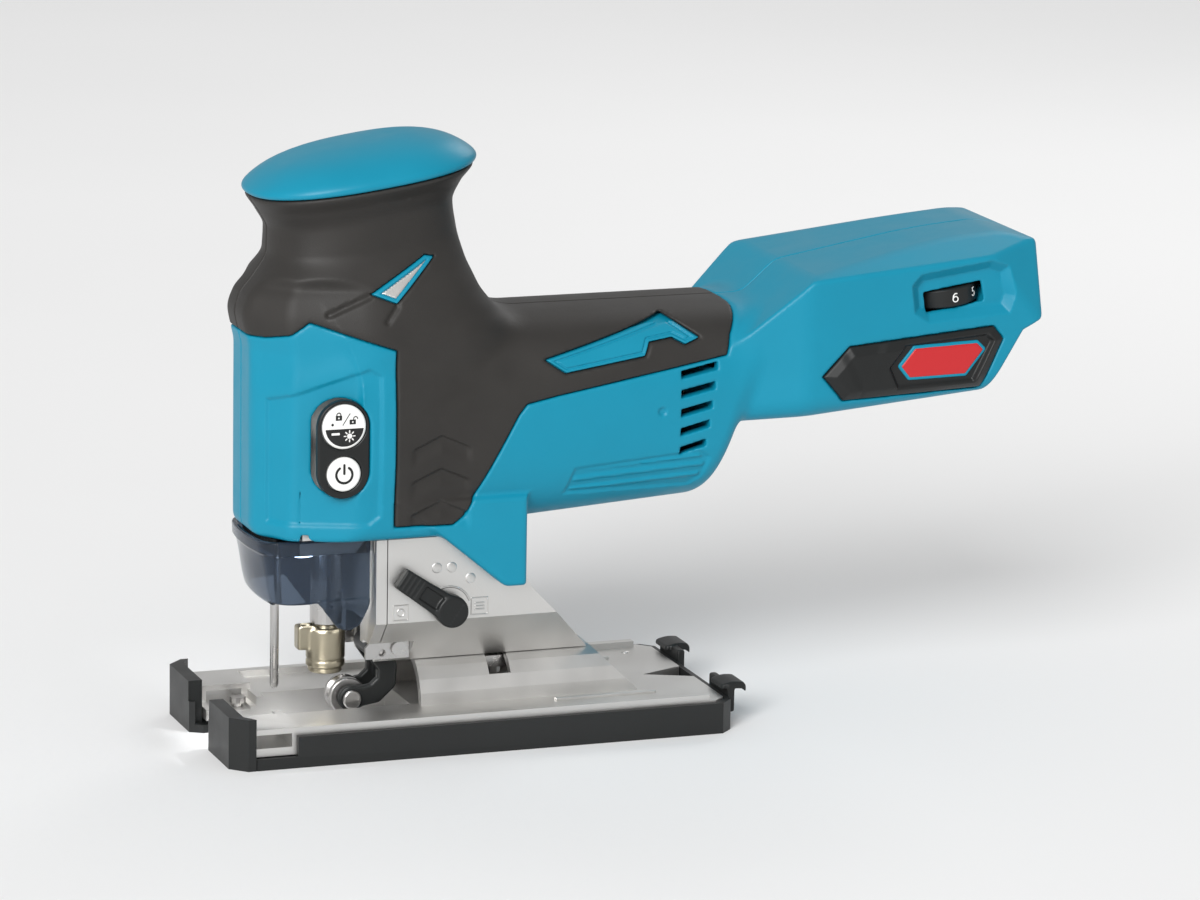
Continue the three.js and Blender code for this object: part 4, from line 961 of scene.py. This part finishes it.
def build_switch_panels():
    g = Grid((-55, 26, 81), (-36, 33, 115.5), FINE)
    edge = stadium(g.x, g.z, BUTTON_X, BEZEL["low"], BEZEL["high"], BEZEL["radius"])
    plate = smooth_max(smooth_max(edge, g.y - 30.5, 0.8), 28.0 - g.y, 0.3)
    for height, radius in BUTTONS.values():
        plate = smooth_max(plate, radius + 0.3 - np.hypot(g.x - BUTTON_X, g.z - height), 0.5)
    pair("switch_bezel", plate, g, BLACK, "black_plastic", "switch_bezel")
    for name, (height, radius) in BUTTONS.items():
        profile = [(radius - 0.2, 27.6), (radius, 27.8), (radius, 30.6), (radius - 0.5, BUTTON_FACE)]
        for side, sign in (("left", 1), ("right", -1)):
            button = lathe(f"{name}_button_{side}", profile, (BUTTON_X, 0, height), (0, -sign, 0))
            body = f"{name}_{side}"
            place(button, body, "white_plastic", WHITE, f"{name}_button_{side}")
            ink = power_ink if name == "power" else lock_black_ink
            where = facing_side(sign, BUTTON_X, BUTTON_FACE - 0.03, height)
            mark = decal(f"{name}_mark_{side}", ink, (radius, radius), where, 0.26, 0.13)
            place(mark, body, "black_plastic", BLACK)


def build_dial():
    lean, radius, half = DIAL["lean"], DIAL["radius"], DIAL["width"] / 2
    centre = Vector((DIAL["x"], DIAL["y"], DIAL["z"]))
    axis = Vector((-math.sin(lean), 0, math.cos(lean)))
    side = [(2.5, half), (radius - 0.4, half), (radius, half - 0.4)]
    profile = [(r, -along) for r, along in side] + side[::-1]
    place(tube("speed_dial", profile, centre, axis, 96), "speed_dial", "black_plastic", BLACK, "speed_dial")
    for i, (ink, degrees) in enumerate(DIAL_MARKS):
        turn = math.radians(-degrees)
        ahead = math.sin(-turn)
        out = Vector((ahead * math.cos(lean), -math.cos(turn), ahead * math.sin(lean)))
        turned_frame = Matrix((out.cross(axis) * -1, axis, out)).transposed().to_4x4()
        where = Matrix.Translation(centre + out * (radius - 0.05)) @ turned_frame
        mark = decal(f"dial_digit_{i + 1}", ink, (2, 2.2), where, 0.3, 0.12)
        place(mark, "speed_dial", "white_plastic", WHITE)


# ---------------- below the housing
VISOR_FRONT = [(28, -58.5), (45, -63.6), (47.4, -65.2), (62.6, -68.4), (63.4, -69.2), (67.4, -69.4)]  # z, x
VISOR_EDGE = [(-70, 45.5), (-56, 45.5), (-51, 47), (-46, 42), (-42, 37.5), (-39, 36.6), (-35.5, 38),
              (-33, 46)]  # x, z
VISOR_SIDE = [(28, 15.4), (36, 15.6), (44, 19.2), (47, 20.8), (70, 20.8)]  # the ears' outer side: z, y
VISOR_INNER = [(28, 13.6), (36, 13.8), (44, 17.4), (47, 18.7), (70, 18.7)]


def visor_cup(g, low_edge):
    """The bowed guard above the ears."""
    side = np.abs(g.y)
    front = curve(VISOR_FRONT, g.z) + 0.006 * side * side
    lip = 0.5 * ramp(g.z, 62.4, 63.2)
    outside = smooth_max(front - g.x, side - 20.2 - lip, 7)
    inside = smooth_max(front + 1.8 - g.x, side - 18.7, 6)
    bottom = np.where(side > 10, low_edge, 45.5 + 0 * g.x)
    cup = smooth_max(np.maximum(outside, -inside), bottom - g.z, 1.0)
    cup = smooth_max(cup, g.z - 67.4, 0.8)
    cup = smooth_max(cup, g.x + 33.2, 0.8)
    return np.where(g.z < 47, np.maximum(cup, np.where(side > 12, 47 - g.z, -9)), cup)


def visor_ears(g, low_edge):
    """The two tongues that reach down beside the blade."""
    side = np.abs(g.y)
    outside, inside = side - curve(VISOR_SIDE, g.z), curve(VISOR_INNER, g.z) - side
    return common(outside, inside, low_edge - g.z, around(g.x, -50, -33.4), g.z - 48)


def build_visor():
    g = Grid((-72, -22.5, 28), (-31, 22.5, 69), FINE)
    low_edge = curve(VISOR_EDGE, g.x)
    made = np.minimum(visor_cup(g, low_edge), visor_ears(g, low_edge))
    cast("visor", made, g, "visor", "smoked_plastic", SMOKED, "visor", most=40000)


def build_lamp_and_guard():
    lens = lathe("lamp_lens", [(2.9, 0), (3, 0.2), (3, 2.4), (2.6, 3.4), (1.4, 4.2)], LAMP_PLACE, (0, 0, -1))
    place(lens, "housing", "clear_plastic", LAMP, "lamp_lens")
    wire = lathe("wire_guard", [(0.7, 15.5), (1.15, 16), (1.4, 17), (1.4, 64.6)], (GUARD_X, 0, 0), (0, 0, 1))
    place(wire, "housing", "steel", STEEL, "wire_guard")
    g = Grid((-68.5, -19, 61), (-55, 19, 68.5), FINE)
    bow = g.x + 65.3 - 0.006 * g.y * g.y
    teeth = 0.45 * np.sin(g.y * 2 * math.pi / 2.2)
    front = -bow - teeth * (g.z < 66.6)
    trim = common(front, g.x + 62.3, around(g.z, 63.3, 67.7), np.abs(g.y) - 16.4)
    cast("front_trim", trim, g, "housing", "black_plastic", BLACK, most=20000)


def build_clamp():
    barrel = [(3.3, 20.3), (3.75, 20.8), (3.75, 34.4), (3.2, 35.5)]
    clamp = lathe("clamp_body", barrel, (BLADE_X, 0, 0), (0, 0, 1))
    place(clamp, "plunger", "bronze", BRASS, "clamp_body")
    g = Grid((-53, -7, 19), (-34, 7, 37), FINE)
    side = np.abs(g.y)
    out = np.hypot(g.x - BLADE_X, g.y)
    radius = curve([(19, 5.4), (21.6, 5.5), (22.2, 6.2), (33.2, 6.2), (34.6, 5.6)], g.z)
    ring = smooth_max(out - radius, around(g.z, 20, 34.4), 0.6)
    ring = smooth_max(ring, -(np.hypot(out - 6.2, g.z - 24.2) - 0.35), 0.3)
    tab = smooth_max(around(g.x, -51.2, -44.6), side - 2.6, 1.0)
    tab = smooth_max(tab, around(g.z, 27.5, 35.4), 1.0)
    dip = common(around(g.x, -49.6, -44), around(g.z, 31.6, 40), side - 1.2)
    sleeve = np.maximum(smooth_min(ring, smooth_max(tab, -dip, 0.5), 1.2), 4.05 - out)
    cast("clamp_sleeve", sleeve, g, "clamp_sleeve", "bronze", BRASS, "clamp_sleeve", most=30000)


def build_fork():
    g = Grid((-40, -8, 5), (-17, 8, 33), FINE)
    side = np.abs(g.y)
    (hinge_x, hinge_z), (roller_x, roller_z) = FORK_HINGE, ROLLER
    path = [(hinge_x, 26.5), (-23, 21.5), (-23.2, 16.5), (-27, 13), (roller_x, roller_z)]
    arm = stroke(path, g.x, g.z) - 3.2
    arm = smooth_min(arm, np.hypot(g.x - roller_x, g.z - roller_z) - 3.9, 1.5)
    arm = smooth_max(arm, around(side, 4.1, 7.1), 0.8)
    hub = smooth_max(np.hypot(g.x - hinge_x, g.z - hinge_z) - 3.6, side - 7.1, 0.8)
    back = [FORK_HINGE, (-22.6, 22.5), (-22.4, 17)]
    web = smooth_max(stroke(back, g.x, g.z) - 1.7, side - 5, 0.6)
    fork = smooth_min(np.minimum(arm, hub), web, 1)
    for (x, z), radius in ((FORK_HINGE, 2.2), (ROLLER, 1.8)):
        fork = np.maximum(fork, radius - np.hypot(g.x - x, g.z - z))
    cast("roller_fork", fork, g, "fork", "black_plastic", BLACK, "roller_fork", most=40000)


def build_roller():
    """A wheel with a groove that guides the blade's back."""
    half = [(1.9, 3.6), (5.6, 3.6), (6, 3.2), (6, 1.6), (4.4, 0.5)]
    profile = [(radius, -y) for radius, y in half] + half[::-1]
    roller = tube("roller", profile, (ROLLER[0], 0, ROLLER[1]), (0, 1, 0))
    place(roller, "roller", "steel", STEEL, "roller")


def build_pin(name, where, radius, half, head, body):
    end = [(head - 0.4, half), (head, half - 0.4), (head, half - 1.1), (radius, half - 1.1)]
    profile = [(r, -y) for r, y in end] + end[::-1]
    pin = lathe(name, profile, (where[0], 0, where[1]), (0, 1, 0), 48)
    place(pin, body, "steel", STEEL, name)


def build_orbit_lever():
    g = Grid((-32, 23.5, 36), (0, 31.5, 62), FINE)
    x, z = ORBIT_AXLE
    ahead, up = math.cos(ORBIT_LEAN), math.sin(ORBIT_LEAN)
    along = half_plane(ORBIT_AXLE, (x + ORBIT_REACH * ahead, z + ORBIT_REACH * up), g.x, g.z)
    run = (g.x - x) * ahead + (g.z - z) * up
    hub = smooth_max(np.hypot(g.x - x, g.z - z) - 5.1, around(g.y, 24.3, 29.2), 1.0)
    width = curve([(0, 4.4), (13, 3.7), (21, 3.5)], run)
    arm = smooth_max(np.abs(along) - width, around(run, 0, 20.4), 0.9)
    arm = smooth_max(arm, around(g.y, 24.6, 28.4), 0.9)
    for i in range(4):
        arm = smooth_max(arm, -(np.hypot(run - 14 - 1.7 * i, g.y - 28.7) - 0.6), 0.4)
    slot = common(np.abs(along) - 2.2, around(run, 4.5, 12), 27.6 - g.y)
    lever = smooth_min(hub, smooth_max(arm, -slot, 0.6), 1.2)
    node = "orbit_lever"
    cast(node, lever, g, node, "black_plastic", BLACK, node, mirror=True, most=40000)


def frame_ink(u, v, half, line):
    return np.abs(np.maximum(np.abs(u), np.abs(v)) - half) - line


def low_ink(u, v):
    """No orbit: a ring in a square."""
    return np.minimum(frame_ink(u, v, 2.4, 0.2), np.abs(disc_ink(u, v, (0, 0), 1.2)) - 0.22)


def high_ink(u, v):
    """Full orbit: three strokes in a square."""
    ink = frame_ink(u, v, 2.7, 0.2)
    for height in (1, 0, -1):
        ink = np.minimum(ink, line_ink(u, v, [(-1.4, height), (1.4, height)], 0.25))
    return ink


def sweep_ink(u, v):
    return arc_ink(u, v, (0, 0), 7.2, 20, 118, 0.35)


def build_case_marks():
    marks = {
        "orbit_low": ((-24.4, 43.3), low_ink), "orbit_high": ((1.6, 43.8), high_ink),
        "orbit_arc": (ORBIT_AXLE, sweep_ink),
    }
    for name, ((x, z), ink) in marks.items():
        mark = decal(name, ink, (8.2, 8.2), facing_side(1, x, CASE_HALF + 0.02, z), 0.4, 0.16)
        place(mark, "housing", "cast_aluminium", BRUSHED)
    for i, (x, z) in enumerate(((-12.6, 57), (-7.7, 56.9), (-1.5, 53))):
        rise = [(1.7, -0.4), (1.7, 0.1), (1.2, 0.3)]
        stud = lathe(f"case_stud_{i + 1}", rise, (x, -CASE_HALF, z), (0, -1, 0), 32)
        place(stud, "housing", "cast_aluminium", ALUMINIUM)


def build_plate_marks(side, sign):
    """The scale's rib and step and three dots, on one side of the plate."""
    ribs = {"rib": ((28, 62), (21, 22.6), 11.4), "step": ((50, 60), (19.4, 21.4), 11.1)}
    for name, ((x0, x1), inner_outer, top) in ribs.items():
        y0, y1 = sorted(sign * y for y in inner_outer)
        rib = block(f"scale_{name}_{side}", (x0, y0, PLATE_TOP), (x1, y1, top), 0.4)
        place(rib, "shoe", "cast_aluminium", ALUMINIUM)
    rise = [(1.3, PLATE_TOP), (1.3, 10.7), (0.7, 10.9)]
    for i, x in enumerate((-50, 36, 70)):
        dot = lathe(f"plate_dot_{side}_{i + 1}", rise, (x, sign * 28, 0), (0, 0, 1), 32)
        place(dot, "shoe", "cast_aluminium", ALUMINIUM)


def build_rear_clip(side, sign):
    g = Grid((80, 8, 3), (91.5, 36, 17), FINE)
    stem = smooth_max(around(g.x, 83.25, 85.8), around(g.y, 14, 31), 0.8)
    stem = smooth_max(stem, around(g.z, 4.5, 13.6), 0.8)
    top = curve([(80, 13.2), (86, 14.4), (88.5, 14.2), (90.4, 12.4)], g.x)
    hook = smooth_max(around(g.x, 81.4, 90), around(g.y, 20, 30.5), 1.2)
    hook = smooth_max(smooth_max(hook, g.z - top, 0.6), top - 2.4 - g.z, 0.6)
    clip = smooth_min(stem, np.where(g.z > 12.2 - 9 * (g.x > 83.2), hook, 1.0), 0.6)
    cast(f"rear_clip_{side}", clip, g, "shoe", "black_plastic", BLACK, mirror=sign < 0, most=12000)


KEPT = [  # the pieces that keep their CAD form: material, bevel in millimetres, nodes
    (ALUMINIUM, 0.6, "gear_housing"),
    (ALUMINIUM, 0.5, "gear_cover"),
    (ALUMINIUM, 0.45, "base_plate"),
    (BLACK, 1.1, "sole_cover"),
    (BLACK, 0.4, "terminal_block"),
    (BLACK, 0.2, "dial_pot fan"),
    (STEEL, 0.3, "tilt_plate base_bolt fork_plate_left fork_plate_right"),
    (STEEL, 0.3, "motor_bearing_front motor_bearing_rear gear_bearing"),
    (STEEL, 0.2, "rotor plunger guide_screw_left guide_screw_right"),
    (STEEL, 0.2, "shell_screw_1 shell_screw_2 shell_screw_3 shell_screw_4"),
    (STEEL, 0.15, "plate_screw_left plate_screw_right"),
    (STEEL, 0.06, "pinion crank_gear"),
    (COPPER, 0.3, "stator"),
    (BRONZE, 0.25, "lower_bush upper_bush"),
    (BRASS, 0.1, "terminal_1 terminal_2"),
    (BOARD, 0.15, "controller_board"),
]


def dress_cad_nodes():
    for material, width, names in KEPT:
        for name in names.split():
            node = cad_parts[name]
            node.data.materials.clear()
            node.data.materials.append(material)
            bevelled(node, width, 28, 2)


# ---------------- room, light and camera
def area_light(name, where, aim, size, watts, colour=(1, 1, 1)):
    data = bpy.data.lights.new(name, "AREA")
    data.shape, data.size, data.energy, data.color = "DISK", size, watts, colour
    lamp = link(bpy.data.objects.new(name, data))
    lamp.location = where
    lamp.rotation_mode = "QUATERNION"
    lamp.rotation_quaternion = (Vector(aim) - Vector(where)).to_track_quat("-Z", "Y")


FLOOR_HALF = 3000


def build_room():
    corners = [(-FLOOR_HALF, -FLOOR_HALF, 0), (FLOOR_HALF, -FLOOR_HALF, 0), (FLOOR_HALF, FLOOR_HALF, 0),
               (-FLOOR_HALF, FLOOR_HALF, 0)]
    floor = mesh_object("floor", corners, [(0, 1, 2, 3)])
    floor.data.materials.append(CARD)
    world = bpy.data.worlds.new("studio")
    bpy.context.scene.world = world
    world.use_nodes = True
    sky = world.node_tree.nodes["Background"]
    sky.inputs["Color"].default_value = (1, 1, 1, 1)
    sky.inputs["Strength"].default_value = 0.5
    bpy.context.scene.view_settings.view_transform = "Standard"
    aim = (0.05, 0, 0.1)
    sun = link(bpy.data.objects.new("sky light", bpy.data.lights.new("sky light", "SUN")))
    sun.data.energy, sun.data.angle = 2.0, math.radians(30)
    sun.rotation_mode = "QUATERNION"
    sun.rotation_quaternion = Vector((0.55, 0.75, -0.62)).to_track_quat("-Z", "Y")
    area_light("key", (-1.0, -1.1, 0.7), aim, 0.45, 8)
    area_light("rim", (0.9, 0.9, 0.9), aim, 0.5, 2.5)
    area_light("lamp glow", (-0.0535, -0.0125, 0.0602), (-0.052, -0.006, 0), 0.004, 0.02)


def build_camera():
    """Stands where the picture's camera stood: 20 degrees to the front of the left side, a little above."""
    azimuth, height, roll = math.radians(-20.2), math.radians(12.7), math.radians(1.0)
    data = bpy.data.cameras.new("camera")
    data.lens, data.sensor_width = 170, 36
    data.clip_start, data.clip_end = 0.05, 20
    camera = link(bpy.data.objects.new("camera", data))
    level = Vector((math.sin(azimuth), -math.cos(azimuth), 0))
    across = Vector((math.cos(azimuth), math.sin(azimuth), 0))
    back = level * math.cos(height) + Vector((0, 0, math.sin(height)))
    up = back.cross(across)
    right = across * math.cos(roll) + up * math.sin(roll)
    above = up * math.cos(roll) - across * math.sin(roll)
    target = Vector((0.0639, 0, 0.1133)) + right * -0.0137 + above * -0.0277
    turn = Matrix((right, above, back)).transposed()
    camera.matrix_world = Matrix.Translation(target + back * 1.807) @ turn.to_4x4()
    bpy.context.scene.camera = camera


# ---------------- the whole
build_housing()
build_inlays()
build_accents()
build_badges()
build_top_cap()
build_switch_panels()
build_dial()
build_visor()
build_lamp_and_guard()
build_clamp()
build_fork()
build_roller()
build_pin("roller_pin", ROLLER, 1.7, 8.5, 3.0, "fork")
build_pin("fork_pin", FORK_HINGE, 1.9, 10.2, 1.9, "housing")
build_orbit_lever()
build_case_marks()
for side, sign in (("left", -1), ("right", 1)):
    build_plate_marks(side, sign)
    build_rear_clip(side, sign)
dress_cad_nodes()
build_room()
build_camera()
